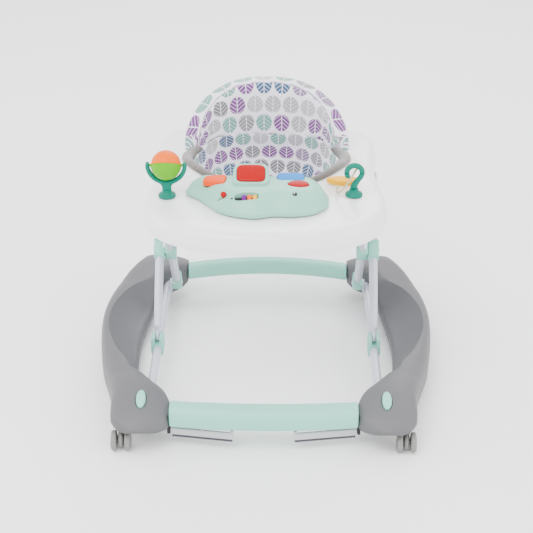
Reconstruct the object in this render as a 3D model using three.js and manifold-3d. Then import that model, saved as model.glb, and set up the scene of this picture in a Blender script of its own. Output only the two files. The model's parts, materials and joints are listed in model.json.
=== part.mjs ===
// Baby walker: scissor-leg frame on rocker side shells, activity tray and padded fabric seat.
// Millimetres, +Z up, front of the walker towards -Y, origin on the floor under the middle of the base.
import * as THREE from "three";
import { mergeVertices } from "three/addons/utils/BufferGeometryUtils.js";
import Module from "manifold-3d";

const wasm = await Module();
wasm.setup();

// ---- driving dimensions ----
const GAP = 0.3; // clearance between touching pieces
const WHEEL_RADIUS = 20;
const CASTOR = { x: 280, y: 330, trail: 12 }; // axle centres at the four corners
const JOINT_X = 186; // where the crossbars meet the side shells
const BAR_HALF = JOINT_X - 1.5;
const LEG_HALF = 195; // pivot to crossing, along a leg
const LEG_ANGLE = THREE.MathUtils.degToRad(50.3);
const PIVOT_Z = 76; // height of the foot pivots
const REAR_Y = 216; // rear foot pivot and rear tray pivot
const OUTER_X = 231; // plane of the rails and front legs
const INNER_X = 207; // plane of the rear legs
const RAIL_Z = 54;
const TUBE = { wide: 18, tall: 26, wall: 1.6 };
const RAIL = { wide: 18, tall: 22, wall: 1.6, half: 258 };
const PIN_R = 4;
const EYE_REACH = 20; // from an end pivot to where the full tube begins
const CROSS_Y = REAR_Y - LEG_HALF * Math.cos(LEG_ANGLE);
const CROSS_Z = PIVOT_Z + LEG_HALF * Math.sin(LEG_ANGLE);
const FRONT_Y = REAR_Y - 2 * LEG_HALF * Math.cos(LEG_ANGLE);
const TOP_Z = PIVOT_Z + 2 * LEG_HALF * Math.sin(LEG_ANGLE);
const SLIDE_TRAVEL = 132; // how far the feet slide forward as the frame folds
const TRAY = { bottom: 386, top: 428, wall: 3 };
const OPENING = { y: 92, halfX: 163, halfY: 134 }; // the seat opening, an oval
const SEAT_TOP = 570;
const SIDES = { tube: 12, pin: 10, round: 16 }; // facets round each kind of curve

// ---- materials: colour, roughness, metalness ----
const FINISH = {
  greyShell: [0x9e9fa3, 0.55, 0],
  mint: [0xbee4d6, 0.5, 0],
  white: [0xf2f2f4, 0.35, 0],
  tube: [0xe6e8f0, 0.35, 0.3],
  strip: [0xe2e2e4, 0.4, 0],
  rubber: [0x6a6470, 0.85, 0],
  castor: [0x8f8f8b, 0.5, 0],
  teal: [0x12bea8, 0.35, 0],
  orange: [0xffa53c, 0.35, 0],
  lime: [0xa4e01e, 0.35, 0],
  keyOrange: [0xfa9646, 0.35, 0],
  red: [0xd7232d, 0.15, 0],
  blue: [0x6ebeeb, 0.35, 0],
  purple: [0xb450be, 0.35, 0],
  yellow: [0xfad714, 0.35, 0],
  black: [0x101010, 0.2, 0],
  cream: [0xe8dfc4, 0.7, 0],
  trim: [0xaaa5a3, 0.9, 0],
  fabric: [0xf0eef4, 0.9, 0],
};

// ---- geometry helpers ----
function solid(geometry) {
  const flat = geometry.index ? geometry.toNonIndexed() : geometry;
  const plain = new THREE.BufferGeometry().setAttribute("position", flat.getAttribute("position"));
  const merged = mergeVertices(plain, 1e-3);
  const triVerts = new Uint32Array(merged.index.array);
  const make = () =>
    new wasm.Manifold(
      new wasm.Mesh({ numProp: 3, vertProperties: merged.attributes.position.array, triVerts }),
    );
  const made = make();
  if (made.volume() > 0) return made;
  for (let i = 0; i < triVerts.length; i += 3) {
    [triVerts[i + 1], triVerts[i + 2]] = [triVerts[i + 2], triVerts[i + 1]];
  }
  return make();
}

function geometryOf(shape) {
  const mesh = shape.getMesh();
  const places = new Float32Array(mesh.numVert * 3);
  for (let i = 0; i < mesh.numVert; i++) {
    places.set(mesh.vertProperties.subarray(i * mesh.numProp, i * mesh.numProp + 3), i * 3);
  }
  const geometry = new THREE.BufferGeometry()
    .setAttribute("position", new THREE.BufferAttribute(places, 3))
    .setIndex(new THREE.BufferAttribute(mesh.triVerts, 1));
  geometry.computeVertexNormals();
  return geometry;
}

const walker = new THREE.Group();

function add(name, finish, shape, mirrored = false) {
  const [color, roughness, metalness] = FINISH[finish];
  const material = new THREE.MeshStandardMaterial({ color, roughness, metalness });
  const mesh = new THREE.Mesh(geometryOf(shape), material);
  mesh.name = name;
  if (mirrored) mesh.scale.x = -1;
  walker.add(mesh);
}

// The same shape on both sides; it is modelled on the +X side, which is the child's left.
function addPair(name, finish, shape) {
  add(name + "_right", finish, shape);
  add(name + "_left", finish, shape, true);
}

// Skins rings of equal length, in order; a closed loft joins the last ring to the first.
function loft(rings, closed = false) {
  const count = rings[0].length;
  const places = [];
  const quad = (a, b, c, d) => places.push(...a, ...b, ...c, ...a, ...c, ...d);
  const last = closed ? rings.length : rings.length - 1;
  for (let i = 0; i < last; i++) {
    const next = rings[(i + 1) % rings.length];
    for (let k = 0; k < count; k++) {
      const l = (k + 1) % count;
      quad(rings[i][k], rings[i][l], next[l], next[k]);
    }
  }
  if (!closed) {
    const middleOf = (ring) => [0, 1, 2].map((c) => ring.reduce((t, p) => t + p[c], 0) / count);
    const first = middleOf(rings[0]);
    const end = middleOf(rings.at(-1));
    for (let k = 0; k < count; k++) {
      const l = (k + 1) % count;
      places.push(...first, ...rings[0][l], ...rings[0][k]);
      places.push(...end, ...rings.at(-1)[k], ...rings.at(-1)[l]);
    }
  }
  const geometry = new THREE.BufferGeometry();
  geometry.setAttribute("position", new THREE.BufferAttribute(new Float32Array(places), 3));
  return solid(geometry);
}

// A smooth value along a list of [place, value] stations.
function along(stations) {
  const slope = (i) => {
    const a = stations[Math.max(i - 1, 0)];
    const b = stations[Math.min(i + 1, stations.length - 1)];
    return (b[1] - a[1]) / (b[0] - a[0]);
  };
  return (at) => {
    if (at <= stations[0][0]) return stations[0][1];
    if (at >= stations.at(-1)[0]) return stations.at(-1)[1];
    const i = stations.findIndex((s) => s[0] > at) - 1;
    const [x0, y0] = stations[i];
    const [x1, y1] = stations[i + 1];
    const h = x1 - x0;
    const t = (at - x0) / h;
    const s = 1 - t;
    const values = y0 * (1 + 2 * t) * s * s + y1 * t * t * (1 + 2 * s);
    return values + h * t * s * (slope(i) * s - slope(i + 1) * t);
  };
}

const range = (count) => Array.from({ length: count }, (_, i) => i);
const mix = (a, b, t) => a + (b - a) * t;

function box(x, y, z, w, d, h) {
  return solid(new THREE.BoxGeometry(w, d, h).translate(x, y, z));
}

// A round bar or hole along one axis.
function rod(axis, x, y, z, radius, length, sides = SIDES.pin) {
  const geometry = new THREE.CylinderGeometry(radius, radius, length, sides);
  if (axis === "x") geometry.rotateZ(Math.PI / 2);
  if (axis === "z") geometry.rotateX(Math.PI / 2);
  return solid(geometry.translate(x, y, z));
}

function ovalShape(wide, tall, sides = SIDES.tube) {
  const points = range(sides).map((i) => {
    const a = (2 * Math.PI * i) / sides;
    const round = (v) => Math.sign(v) * Math.abs(v) ** 0.8;
    return new THREE.Vector2((round(Math.cos(a)) * wide) / 2, (round(Math.sin(a)) * tall) / 2);
  });
  return new THREE.Shape(points);
}

// An oval tube or bar whose axis runs along Y from `from` to `to`, before any tilt.
function ovalBar(wide, tall, from, to, wall = 0) {
  const shape = ovalShape(wide, tall);
  if (wall) shape.holes.push(ovalShape(wide - 2 * wall, tall - 2 * wall));
  const geometry = new THREE.ExtrudeGeometry(shape, { depth: to - from, bevelEnabled: false });
  return solid(geometry.translate(0, 0, -to).rotateX(Math.PI / 2));
}

// Turns a shape about the X direction through a point, then moves it.
function tilted(shape, angle, x, y, z) {
  return solid(geometryOf(shape).rotateX(angle).translate(x, y, z));
}

// ---- side shells: a rocker body with a pod at each end ----
const shellInner = along([
  [-350, 200],
  [-305, 178],
  [-262, 192],
  [-222, 224],
  [-180, 256],
  [-100, 268],
  [20, 272],
  [140, 258],
  [190, 250],
  [225, 243],
  [245, 226],
  [262, 203],
  [275, 186],
  [310, 178],
  [348, 200],
]);
const shellOuter = along([
  [-360, 290],
  [-320, 300],
  [-262, 304],
  [-200, 318],
  [-110, 341],
  [40, 358],
  [150, 350],
  [240, 326],
  [300, 300],
  [345, 290],
]);
const shellCrease = along([
  [-190, 262],
  [-150, 286],
  [-100, 312],
  [-20, 336],
  [50, 340],
  [110, 327],
  [160, 302],
  [200, 262],
]);
const shellTop = along([
  [-366, 66],
  [-335, 80],
  [-300, 92],
  [-250, 103],
  [-180, 100],
  [0, 94],
  [180, 98],
  [260, 103],
  [310, 96],
  [350, 78],
]);
const SHELL = { front: -358, rear: 358, round: 32, rocker: 3900, low: 12, pod: 43 };

const smooth = (a, b, x) => {
  const t = THREE.MathUtils.clamp((x - a) / (b - a), 0, 1);
  return t * t * (3 - 2 * t);
};

// One cross-section of the right-hand shell, in the XZ plane at y.
function shellSection(y) {
  const inner = shellInner(y);
  const outer = shellOuter(y);
  const top = shellTop(y);
  const bottom = Math.max(SHELL.low + (y * y) / SHELL.rocker, SHELL.pod * smooth(225, 285, Math.abs(y)));
  const scoop = 1 - smooth(140, 205, Math.abs(y - 5)); // 1 along the middle, 0 at the pods
  const crease = Math.max(shellCrease(y), inner + 20);
  const innerTop = mix(top - 22, 42, scoop);
  const points = [
    [inner + 8, bottom],
    [inner, bottom + 7],
    [inner, innerTop - 4],
  ];
  for (const u of [0.15, 0.4, 0.7, 1]) {
    const proud = Math.sqrt(1 - (1 - u) ** 2);
    points.push([mix(inner, crease, u), mix(innerTop, top, mix(proud, u ** 1.7, scoop))]);
  }
  const middle = bottom + 0.45 * (top - bottom);
  for (const a of [0.4, 0.75, 1]) {
    const angle = (a * Math.PI) / 2;
    const x = mix(crease, outer, Math.sin(angle) ** 0.8);
    points.push([x, middle + (top - middle) * Math.cos(angle) ** 0.55]);
  }
  points.push([outer - 4, bottom + 9], [outer - 16, bottom]);
  const past = Math.max(SHELL.front + SHELL.round - y, y - (SHELL.rear - SHELL.round), 0);
  const keep = Math.max(Math.sqrt(Math.max(1 - (past / SHELL.round) ** 2, 0)), 0.3);
  const centre = [mix(inner, outer, 0.55), 60];
  return points.map(([x, z]) => [
    Math.max(mix(centre[0], x, keep), JOINT_X),
    y,
    mix(centre[1], z, keep),
  ]);
}

function makeShell() {
  const places = [
    ...[0, 5, 15, 32].map((d) => SHELL.front + d),
    ...range(17).map((i) => mix(SHELL.front + 55, SHELL.rear - 55, i / 16)),
    ...[32, 15, 5, 0].map((d) => SHELL.rear - d),
  ];
  let shell = loft(places.map(shellSection));
  for (const { end, tubeY, tubeZ } of Object.values(BARS)) {
    const railEnd = ovalBar(RAIL.wide + 2 * GAP, RAIL.tall + 2 * GAP, 0, 120);
    const socket = geometryOf(railEnd).translate(OUTER_X, end > 0 ? RAIL.half - 119 : -RAIL.half - 1, RAIL_Z);
    shell = shell.subtract(solid(socket));
    shell = shell.subtract(rod("z", CASTOR.x, end * (CASTOR.y - CASTOR.trail), 44, 7, 34));
    shell = shell.subtract(rod("x", JOINT_X + 18, tubeY, tubeZ, CROSS_TUBE_R + 3 * GAP, 60));
  }
  return shell.subtract(buttonShape(BUTTON.wide + 3, BUTTON.long + 4, BUTTON.depth));
}

// ---- release buttons on the front pods ----
const BUTTON = { x: 241, y: -297, z: 96, wide: 19, long: 42, depth: 12, slope: 0.36 };

function buttonShape(wide, long, depth) {
  const shape = new THREE.Shape().absellipse(0, 0, wide / 2, long / 2, 0, 2 * Math.PI);
  const options = { depth: depth * 2, bevelEnabled: false, curveSegments: 8 };
  const geometry = new THREE.ExtrudeGeometry(shape, options).translate(0, 0, -depth);
  return solid(geometry.rotateX(BUTTON.slope).translate(BUTTON.x, BUTTON.y, BUTTON.z));
}

function makeButton() {
  const half = [BUTTON.wide / 2 - 1.5, BUTTON.long / 2 - 1.5];
  const shape = new THREE.Shape().absellipse(0, 0, ...half, 0, 2 * Math.PI);
  const options = { depth: 7, bevelThickness: 1.5, bevelSize: 1.5, bevelSegments: 1, curveSegments: 8 };
  const geometry = new THREE.ExtrudeGeometry(shape, options).translate(0, 0, -6.5);
  return solid(geometry.rotateX(BUTTON.slope).translate(BUTTON.x, BUTTON.y, BUTTON.z));
}

// ---- crossbars with the steel tube inside each ----
const CROSS_TUBE_R = 8;
const BARS = {
  front: { end: -1, y: -306, bow: -10, deep: 46, swell: 5, bottom: 46, top: 90, tubeY: -312, tubeZ: 66 },
  rear: { end: 1, y: 287, bow: 30, deep: 34, swell: 2, bottom: 50, top: 86, tubeY: 290, tubeZ: 68 },
};

function makeCrossbar(bar) {
  const { y, bow, deep, swell, bottom, top } = bar;
  const rings = range(11).map((i) => {
    const x = mix(-BAR_HALF, BAR_HALF, i / 10);
    const arch = 1 - (x / BAR_HALF) ** 2;
    const half = (deep + swell * arch) / 2;
    const centre = y + bow * arch;
    const round = (v, p) => Math.sign(v) * Math.abs(v) ** p;
    return range(14).map((k) => {
      const a = (2 * Math.PI * (k + 0.5)) / 14;
      const middle = mix(bottom, top, 0.42);
      const tall = Math.sin(a) > 0 ? top - middle : middle - bottom;
      const z = middle + round(Math.sin(a), Math.sin(a) > 0 ? 0.8 : 0.45) * tall;
      return [x, centre + round(Math.cos(a), 0.6) * half, z];
    });
  });
  return loft(rings).subtract(bowedTube(bar, CROSS_TUBE_R + GAP, BAR_HALF + 5));
}

// The steel tube follows the bow of its crossbar, with straight ends in the shells.
function bowedTube(bar, radius, half, wall = 0) {
  const bow = bar.end > 0 ? bar.bow : 0;
  const ring = (x) => {
    const arch = Math.max(1 - (x / BAR_HALF) ** 2, 0);
    return range(SIDES.pin).map((k) => {
      const a = (2 * Math.PI * k) / SIDES.pin;
      return [x, bar.tubeY + bow * arch + Math.cos(a) * radius, bar.tubeZ + Math.sin(a) * radius];
    });
  };
  const tube = loft([half, BAR_HALF, 110, 40, -40, -110, -BAR_HALF, -half].map(ring));
  return wall ? tube.subtract(bowedTube(bar, radius - wall, half + 1)) : tube;
}

// ---- anti-slip brake strips hung under the front crossbar ----
const STRIP = { near: 58, far: 183, nearY: -337, farY: -318, top: 41, bottom: 27, thick: 4, shelf: 16 };
const RUBBER_TALL = 5.5;

// A slab that follows the strip's line, from y0 to y1 behind its face.
function stripSlab(y0, y1, bottom, top, from = STRIP.near, to = STRIP.far) {
  const faceAt = (x) => mix(STRIP.nearY, STRIP.farY, (x - STRIP.near) / (STRIP.far - STRIP.near));
  const ring = (x) => [
    [x, faceAt(x) + y0, bottom],
    [x, faceAt(x) + y1, bottom],
    [x, faceAt(x) + y1, top],
    [x, faceAt(x) + y0, top],
  ];
  return loft([ring(from), ring(to)]);
}

function makeStrip() {
  const { thick, shelf, bottom, top, near, far } = STRIP;
  const underBar = BARS.front.bottom - 0.5;
  let strip = stripSlab(0, thick, bottom, top).add(stripSlab(0, shelf, bottom, bottom + 4));
  for (const x of [near + 4, (near + far) / 2, far - 4]) {
    strip = strip.add(stripSlab(2, shelf - 1, bottom + 1, underBar, x - 3, x + 3));
  }
  return strip;
}

function makeStripRubber() {
  const { near, far, bottom, shelf } = STRIP;
  return stripSlab(1.5, shelf - 2, bottom - RUBBER_TALL, bottom - GAP, near + 3, far - 3);
}

// ---- castors: a domed stem with a wheel on each side, joined by the axle ----
const WHEEL = { wide: 11, apart: 16, axle: 3 };

function makeCastorFork(end) {
  const stemY = end * (CASTOR.y - CASTOR.trail);
  const axleY = end * CASTOR.y;
  const dome = new THREE.SphereGeometry(17, 14, 9).scale(0.42, 1, 0.95);
  let fork = solid(dome.translate(CASTOR.x, mix(stemY, axleY, 0.6), WHEEL_RADIUS - 0.5));
  fork = fork.add(rod("z", CASTOR.x, stemY, 42, 6.2, 30));
  return fork.subtract(rod("x", CASTOR.x, axleY, WHEEL_RADIUS, WHEEL.axle + GAP, 40));
}

function makeWheelSet(end) {
  const half = WHEEL.wide / 2;
  const rim = [
    [0, -half],
    [18, -half],
    [WHEEL_RADIUS, -half + 2],
    [WHEEL_RADIUS, half - 2],
    [18, half],
    [0, half],
  ];
  const wheel = (side) => {
    const lathe = new THREE.LatheGeometry(rim.map(([x, y]) => new THREE.Vector2(x, y)), SIDES.round);
    const x = CASTOR.x + (side * (WHEEL.apart + WHEEL.wide)) / 2;
    return solid(lathe.rotateZ(Math.PI / 2).translate(x, end * CASTOR.y, WHEEL_RADIUS));
  };
  const axle = rod("x", CASTOR.x, end * CASTOR.y, WHEEL_RADIUS, WHEEL.axle, WHEEL.apart + 4);
  return wheel(1).add(wheel(-1)).add(axle);
}

// ---- base rails with the lug that carries each rear foot ----
function makeRail() {
  const { wide, tall, wall, half } = RAIL;
  const tube = solid(geometryOf(ovalBar(wide, tall, -half, half, wall)).translate(OUTER_X, 0, RAIL_Z));
  const lugX = OUTER_X - wide / 2 - 1.5;
  const plate = box(lugX, REAR_Y, (RAIL_Z + PIVOT_Z) / 2, 4, 18, PIVOT_Z - RAIL_Z).add(
    rod("x", lugX, REAR_Y, PIVOT_Z, 9, 4),
  );
  return tube.add(plate).add(rod("x", lugX - 9, REAR_Y, PIVOT_Z, PIN_R, 20));
}

// ---- scissor legs ----
function makeFrontLeg() {
  const half = LEG_HALF - EYE_REACH - 2;
  const open = ovalBar(TUBE.wide, TUBE.tall, -half, half, TUBE.wall);
  const bored = open.subtract(rod("x", 0, 0, 0, PIN_R + 0.5 + GAP, 40));
  const ends = [legEnd(-1), legEnd(1)];
  return tilted(bored.add(ends[0]).add(ends[1]), LEG_ANGLE, OUTER_X, CROSS_Y, CROSS_Z);
}

// The flattened end of a leg: a solid cap on the tube, then a thin eye for the pin.
function legEnd(end) {
  const cap = ovalBar(TUBE.wide, TUBE.tall, 0, 8);
  const start = end > 0 ? LEG_HALF - EYE_REACH - 8 : -LEG_HALF + EYE_REACH;
  const seated = solid(geometryOf(cap).translate(0, start, 0));
  const tab = box(0, end * (LEG_HALF - 12), 0, 9, 24, 13).add(rod("x", 0, end * LEG_HALF, 0, 6.5, 9));
  return seated.add(tab).subtract(rod("x", 0, end * LEG_HALF, 0, PIN_R + GAP, 20));
}

function makeRearLeg() {
  const open = ovalBar(TUBE.wide, TUBE.tall, -LEG_HALF + EYE_REACH + 2, LEG_HALF + 4, TUBE.wall);
  const bored = open.subtract(rod("x", 0, 0, 0, PIN_R + 0.5 + GAP, 40));
  const cap = solid(geometryOf(ovalBar(TUBE.wide, TUBE.tall, 0, 8)).translate(0, EYE_REACH - LEG_HALF, 0));
  const tab = box(0, 12 - LEG_HALF, 0, 9, 24, 13).add(rod("x", 0, -LEG_HALF, 0, 6.5, 9));
  const roller = rod("x", -6, -LEG_HALF, 0, PIN_R, 18);
  const bore = rod("x", 0, LEG_HALF, 0, PIN_R + 0.6, 40);
  const leg = bored.add(cap).add(tab).add(roller).subtract(bore);
  return tilted(leg, -LEG_ANGLE, INNER_X, CROSS_Y, CROSS_Z);
}

// A moulded cap with a rounded end over the rear leg's foot.
function makeRearFoot() {
  const wide = 21;
  const outside = box(0, LEG_HALF - 14, 0, wide, 28, 32).add(rod("x", 0, LEG_HALF, 0, 16, wide, 20));
  const socket = ovalBar(TUBE.wide + 2 * GAP, TUBE.tall + 2 * GAP, LEG_HALF - 40, LEG_HALF + 4 + GAP);
  const foot = outside.subtract(socket).subtract(rod("x", 0, LEG_HALF, 0, PIN_R + GAP, 40));
  return tilted(foot, -LEG_ANGLE, INNER_X, CROSS_Y, CROSS_Z);
}

// The blocks at the crossing: the outer one carries the pin that both tubes turn on.
function makeCrossBlock(outer) {
  const wide = 23;
  const long = 46;
  const tall = 33;
  let block = box(0, 0, 0, wide, long - 14, tall);
  for (const end of [-1, 1]) {
    block = block.add(rod("x", 0, end * (long / 2 - 9), 0, tall / 2, wide, 12));
  }
  block = block.subtract(ovalBar(TUBE.wide + 2 * GAP, TUBE.tall + 2 * GAP, -60, 60));
  const reach = OUTER_X - INNER_X;
  const pin = rod("x", -reach / 2 + 1, 0, 0, PIN_R + 0.5, reach + 22);
  if (outer) return tilted(block.add(pin), LEG_ANGLE, OUTER_X, CROSS_Y, CROSS_Z);
  const bored = block.subtract(rod("x", 0, 0, 0, PIN_R + 0.5 + GAP, 60));
  return tilted(bored, -LEG_ANGLE, INNER_X, CROSS_Y, CROSS_Z);
}

// The sleeve that slides on a base rail and holds the front leg's foot in a fork.
function makeSlider() {
  const wide = 27;
  const long = 34;
  const floor = RAIL_Z + RAIL.tall / 2 + 3.2;
  const bottom = RAIL_Z - RAIL.tall / 2 - 3.5;
  const top = PIVOT_Z + 9;
  const tunnel = geometryOf(ovalBar(RAIL.wide + 2 * GAP, RAIL.tall + 2 * GAP, -40, 40));
  let body = box(0, 0, (bottom + top) / 2, wide, long, top - bottom);
  body = body.subtract(solid(tunnel.translate(0, 0, RAIL_Z)));
  body = body.subtract(box(0, 0, (floor + top + 10) / 2, 10, 60, top + 10 - floor));
  body = body.add(rod("x", 0, 0, PIVOT_Z, PIN_R, 20));
  return solid(geometryOf(body).translate(OUTER_X, FRONT_Y, 0));
}

// ---- tray: a thin moulding with a raised collar round the seat opening ----
const trayOutline = new THREE.CatmullRomCurve3(
  [
    [0, -250],
    [112, -236],
    [192, -196],
    [232, -142],
    [243, -85],
    [235, 0],
    [227, 86],
    [236, 200],
    [230, 252],
    [204, 286],
    [150, 297],
    [0, 298],
    [-150, 297],
    [-204, 286],
    [-230, 252],
    [-236, 200],
    [-227, 86],
    [-235, 0],
    [-243, -85],
    [-232, -142],
    [-192, -196],
    [-112, -236],
  ].map(([x, y]) => new THREE.Vector3(x, y, 0)),
  true,
  "centripetal",
);
const AROUND = 36;

// Matching points on the tray's edge and on the opening's edge.
function trayPair(i) {
  const edge = trayOutline.getPointAt((i % AROUND) / AROUND);
  const angle = Math.atan2((edge.y - OPENING.y) / OPENING.halfY, edge.x / OPENING.halfX);
  const holeY = OPENING.y + OPENING.halfY * Math.sin(angle);
  const hole = new THREE.Vector3(OPENING.halfX * Math.cos(angle), holeY, 0);
  return { edge, hole, angle };
}

// The collar is highest beside the child's thighs, a little ahead of the opening's middle.
function collarRise(angle) {
  const turn = Math.atan2(Math.sin(angle), Math.abs(Math.cos(angle)));
  return 2 + 16 * Math.max(Math.cos(turn + 0.45), 0) ** 6;
}

function trayRing(i, { edge: edgeInset, hole: holeInset, low, skin }) {
  const { edge, hole, angle } = trayPair(i);
  const span = edge.distanceTo(hole);
  const rise = collarRise(angle);
  const at = (inset, z) => {
    const p = edge.clone().lerp(hole, inset / span);
    return [p.x, p.y, z];
  };
  const top = TRAY.top - skin;
  const outside = [
    at(edgeInset + 2, TRAY.bottom + low),
    at(edgeInset, TRAY.bottom + 14),
    at(edgeInset + 3, top - 13),
    at(edgeInset + 10, top - 4),
    at(edgeInset + 26, top),
  ];
  const inside = [
    at(span - 28, top + 2),
    at(span - 16 - holeInset * 0.5, top + 2 + rise * 0.6),
    at(span - 8 - holeInset * 0.7, top + rise),
    at(span - holeInset - 1, top + rise - 4),
    at(span - holeInset, TRAY.bottom + 12 + low),
  ];
  return [...outside, ...inside];
}

function makeTrayTop() {
  return loft(
    range(AROUND).map((i) => [
      ...trayRing(i, { edge: 0, hole: 0, low: 0, skin: 0 }),
      ...trayRing(i, { edge: TRAY.wall, hole: TRAY.wall, low: 0, skin: TRAY.wall }).reverse(),
    ]),
    true,
  );
}

// The tray base closes the tray from below and carries the brackets of the legs.
function makeTrayBase() {
  const inset = (from, to, distance) => from.clone().lerp(to, distance / from.distanceTo(to));
  const pairs = range(AROUND).map(trayPair);
  const outline = new THREE.Shape(pairs.map(({ edge, hole }) => inset(edge, hole, TRAY.wall + 6)));
  outline.holes.push(new THREE.Path(pairs.map(({ edge, hole }) => inset(hole, edge, TRAY.wall + 2))));
  const ring = new THREE.ExtrudeGeometry(outline, { depth: 3, bevelEnabled: false });
  let base = solid(ring.translate(0, 0, TRAY.bottom + 1));
  for (const side of [-1, 1]) {
    for (const piece of [hingeBracket(), slideChannel()]) {
      base = base.add(side > 0 ? piece : solid(geometryOf(piece).scale(-1, 1, 1)));
    }
  }
  return base;
}

const BRACKET_TOP = TRAY.bottom + 2;

// A plate and a pin that hold the front leg's upper end.
function hingeBracket() {
  const thick = 4;
  const x = OUTER_X - 5.5 - thick / 2;
  const plate = box(x, REAR_Y, (TOP_Z + BRACKET_TOP) / 2, thick, 24, BRACKET_TOP - TOP_Z);
  return plate
    .add(rod("x", x, REAR_Y, TOP_Z, 10, thick))
    .add(rod("x", x + 8, REAR_Y, TOP_Z, PIN_R, 16));
}

// A slotted plate that guides the pin on the rear leg's upper end.
function slideChannel() {
  const from = FRONT_Y - SLIDE_TRAVEL - 10;
  const to = FRONT_Y + 14;
  const slot = box(0, FRONT_Y - SLIDE_TRAVEL / 2, TOP_Z, 40, SLIDE_TRAVEL, 2 * PIN_R + 0.9)
    .add(rod("x", 0, FRONT_Y, TOP_Z, PIN_R + 0.5, 40, 16))
    .add(rod("x", 0, FRONT_Y - SLIDE_TRAVEL, TOP_Z, PIN_R + 0.5, 40, 16));
  const tall = BRACKET_TOP - TOP_Z + 10;
  const plate = box(0, (from + to) / 2, BRACKET_TOP - tall / 2, 3, to - from, tall);
  return solid(geometryOf(plate.subtract(slot)).translate(INNER_X - 11, 0, 0));
}

// ---- play panel: an animal-shaped housing with keys, a slider and beads ----
const PANEL = { x: -18, y: -112, bottom: 432.5 };
const panelOutline = new THREE.CatmullRomCurve3(
  [
    [-158, -70],
    [-134, -94],
    [-112, -124],
    [-90, -154],
    [-58, -174],
    [-18, -182],
    [18, -172],
    [56, -173],
    [97, -160],
    [121, -128],
    [124, -92],
    [110, -62],
    [76, -53],
    [20, -56],
    [-30, -52],
    [-80, -54],
    [-118, -56],
    [-148, -52],
  ].map(([x, y]) => new THREE.Vector3(x, y, 0)),
  true,
  "centripetal",
);
// Each level: height, width share, depth share, shift to the rear.
const PANEL_LEVELS = [
  [432.5, 1, 1, 0],
  [439, 1, 1, 0],
  [442, 0.975, 0.95, 1.5],
  [451, 0.94, 0.88, 5],
  [460, 0.88, 0.78, 10],
  [467, 0.8, 0.66, 15],
  [470, 0.7, 0.52, 18],
];
const KEYS = {
  orange: { x: -99, y: -86, wide: 44, deep: 34, top: 474 },
  screen: { x: -28, y: -86, wide: 56, deep: 40, top: 488 },
  blue: { x: 50, y: -71, wide: 54, deep: 18, top: 474 },
  oval: { x: 65, y: -103, wide: 42, deep: 24, top: 472 },
};
const KEY_DEPTH = 12;
const BEADS = { y: -147, z: 458, from: -59, to: -11, radius: 8, rod: 2, wide: 9.5 };
const SLOT = { from: -95, to: -76, y: -139, wide: 5, floor: 449 };
const EYE = { x: 58, y: -138, z: 461, radius: 5 };

function roundedKey({ x, y, wide, deep, top }, grow, height, extra = 0) {
  const half = [wide / 2 + grow, deep / 2 + grow];
  const levels = extra ? [[0, 1], [height, 1]] : [[0, 1], [height - 2, 1], [height, 0.9]];
  return loft(
    levels.map(([rise, share]) =>
      range(12).map((k) => {
        const a = (2 * Math.PI * (k + 0.5)) / 12;
        const power = wide === KEYS.oval.wide ? 1 : 0.5;
        const c = Math.sign(Math.cos(a)) * Math.abs(Math.cos(a)) ** power;
        const s = Math.sign(Math.sin(a)) * Math.abs(Math.sin(a)) ** power;
        return [x + c * half[0] * share, y + s * half[1] * share, top - KEY_DEPTH + rise];
      }),
    ),
  );
}

function makePanel() {
  const outline = panelOutline.getSpacedPoints(30).slice(0, 30);
  let panel = loft(
    PANEL_LEVELS.map(([z, sx, sy, shift]) =>
      outline.map((p) => [PANEL.x + (p.x - PANEL.x) * sx, PANEL.y + (p.y - PANEL.y) * sy + shift, z]),
    ),
  );
  const { screen } = KEYS;
  const bump = { ...screen, top: 460 + KEY_DEPTH };
  panel = panel.add(roundedKey(bump, 8, screen.top - 4 - 460));
  for (const key of Object.values(KEYS)) {
    panel = panel.subtract(roundedKey({ ...key, top: key.top - 4 }, 0.6, 40, 1));
  }
  const { y, z, from, to, radius } = BEADS;
  panel = panel.subtract(box((from + to) / 2, y, z + 10, to - from, 2 * radius + 1.4, 38));
  panel = panel.subtract(rod("x", (from + to) / 2, y, z, BEADS.rod + GAP, to - from + 16));
  const slot = box((SLOT.from + SLOT.to) / 2, SLOT.y, SLOT.floor + 15, SLOT.to - SLOT.from, SLOT.wide, 30);
  panel = panel.subtract(slot);
  const socket = new THREE.SphereGeometry(EYE.radius + GAP, 12, 8).translate(EYE.x, EYE.y, EYE.z);
  return panel.subtract(solid(socket));
}

function makeEye() {
  return solid(new THREE.SphereGeometry(EYE.radius - 0.2, 12, 8).translate(EYE.x, EYE.y, EYE.z));
}

function makeBeadRod() {
  const { from, to, y, z } = BEADS;
  return rod("x", (from + to) / 2, y, z, BEADS.rod, to - from + 14);
}

function makeBead(i) {
  const { wide, radius, y, z } = BEADS;
  const half = wide / 2 - 0.3;
  const profile = [
    [BEADS.rod + GAP, -half],
    [radius - 2.5, -half],
    [radius, -half + 2.2],
    [radius, half - 2.2],
    [radius - 2.5, half],
    [BEADS.rod + GAP, half],
    [BEADS.rod + GAP, -half],
  ];
  const lathe = new THREE.LatheGeometry(profile.map(([x, h]) => new THREE.Vector2(x, h)), 14);
  return solid(lathe.rotateZ(Math.PI / 2).translate(-40 + i * (wide + 1), y, z));
}

function makeSliderKnob() {
  const x = SLOT.to - 4;
  const ball = new THREE.SphereGeometry(6, 12, 8).translate(x, SLOT.y, SLOT.floor + 19);
  return solid(ball).add(rod("z", x, SLOT.y, SLOT.floor + 8.5, 2, 15));
}

// ---- spinner: a ball in two halves that turns in a forked stand ----
const SPINNER = { x: -195, y: -76, z: 497, ball: 30, inner: 32.5, outer: 41, deep: 12, turned: 0.56 };
const TRAY_FACE = 430.8;

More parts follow.
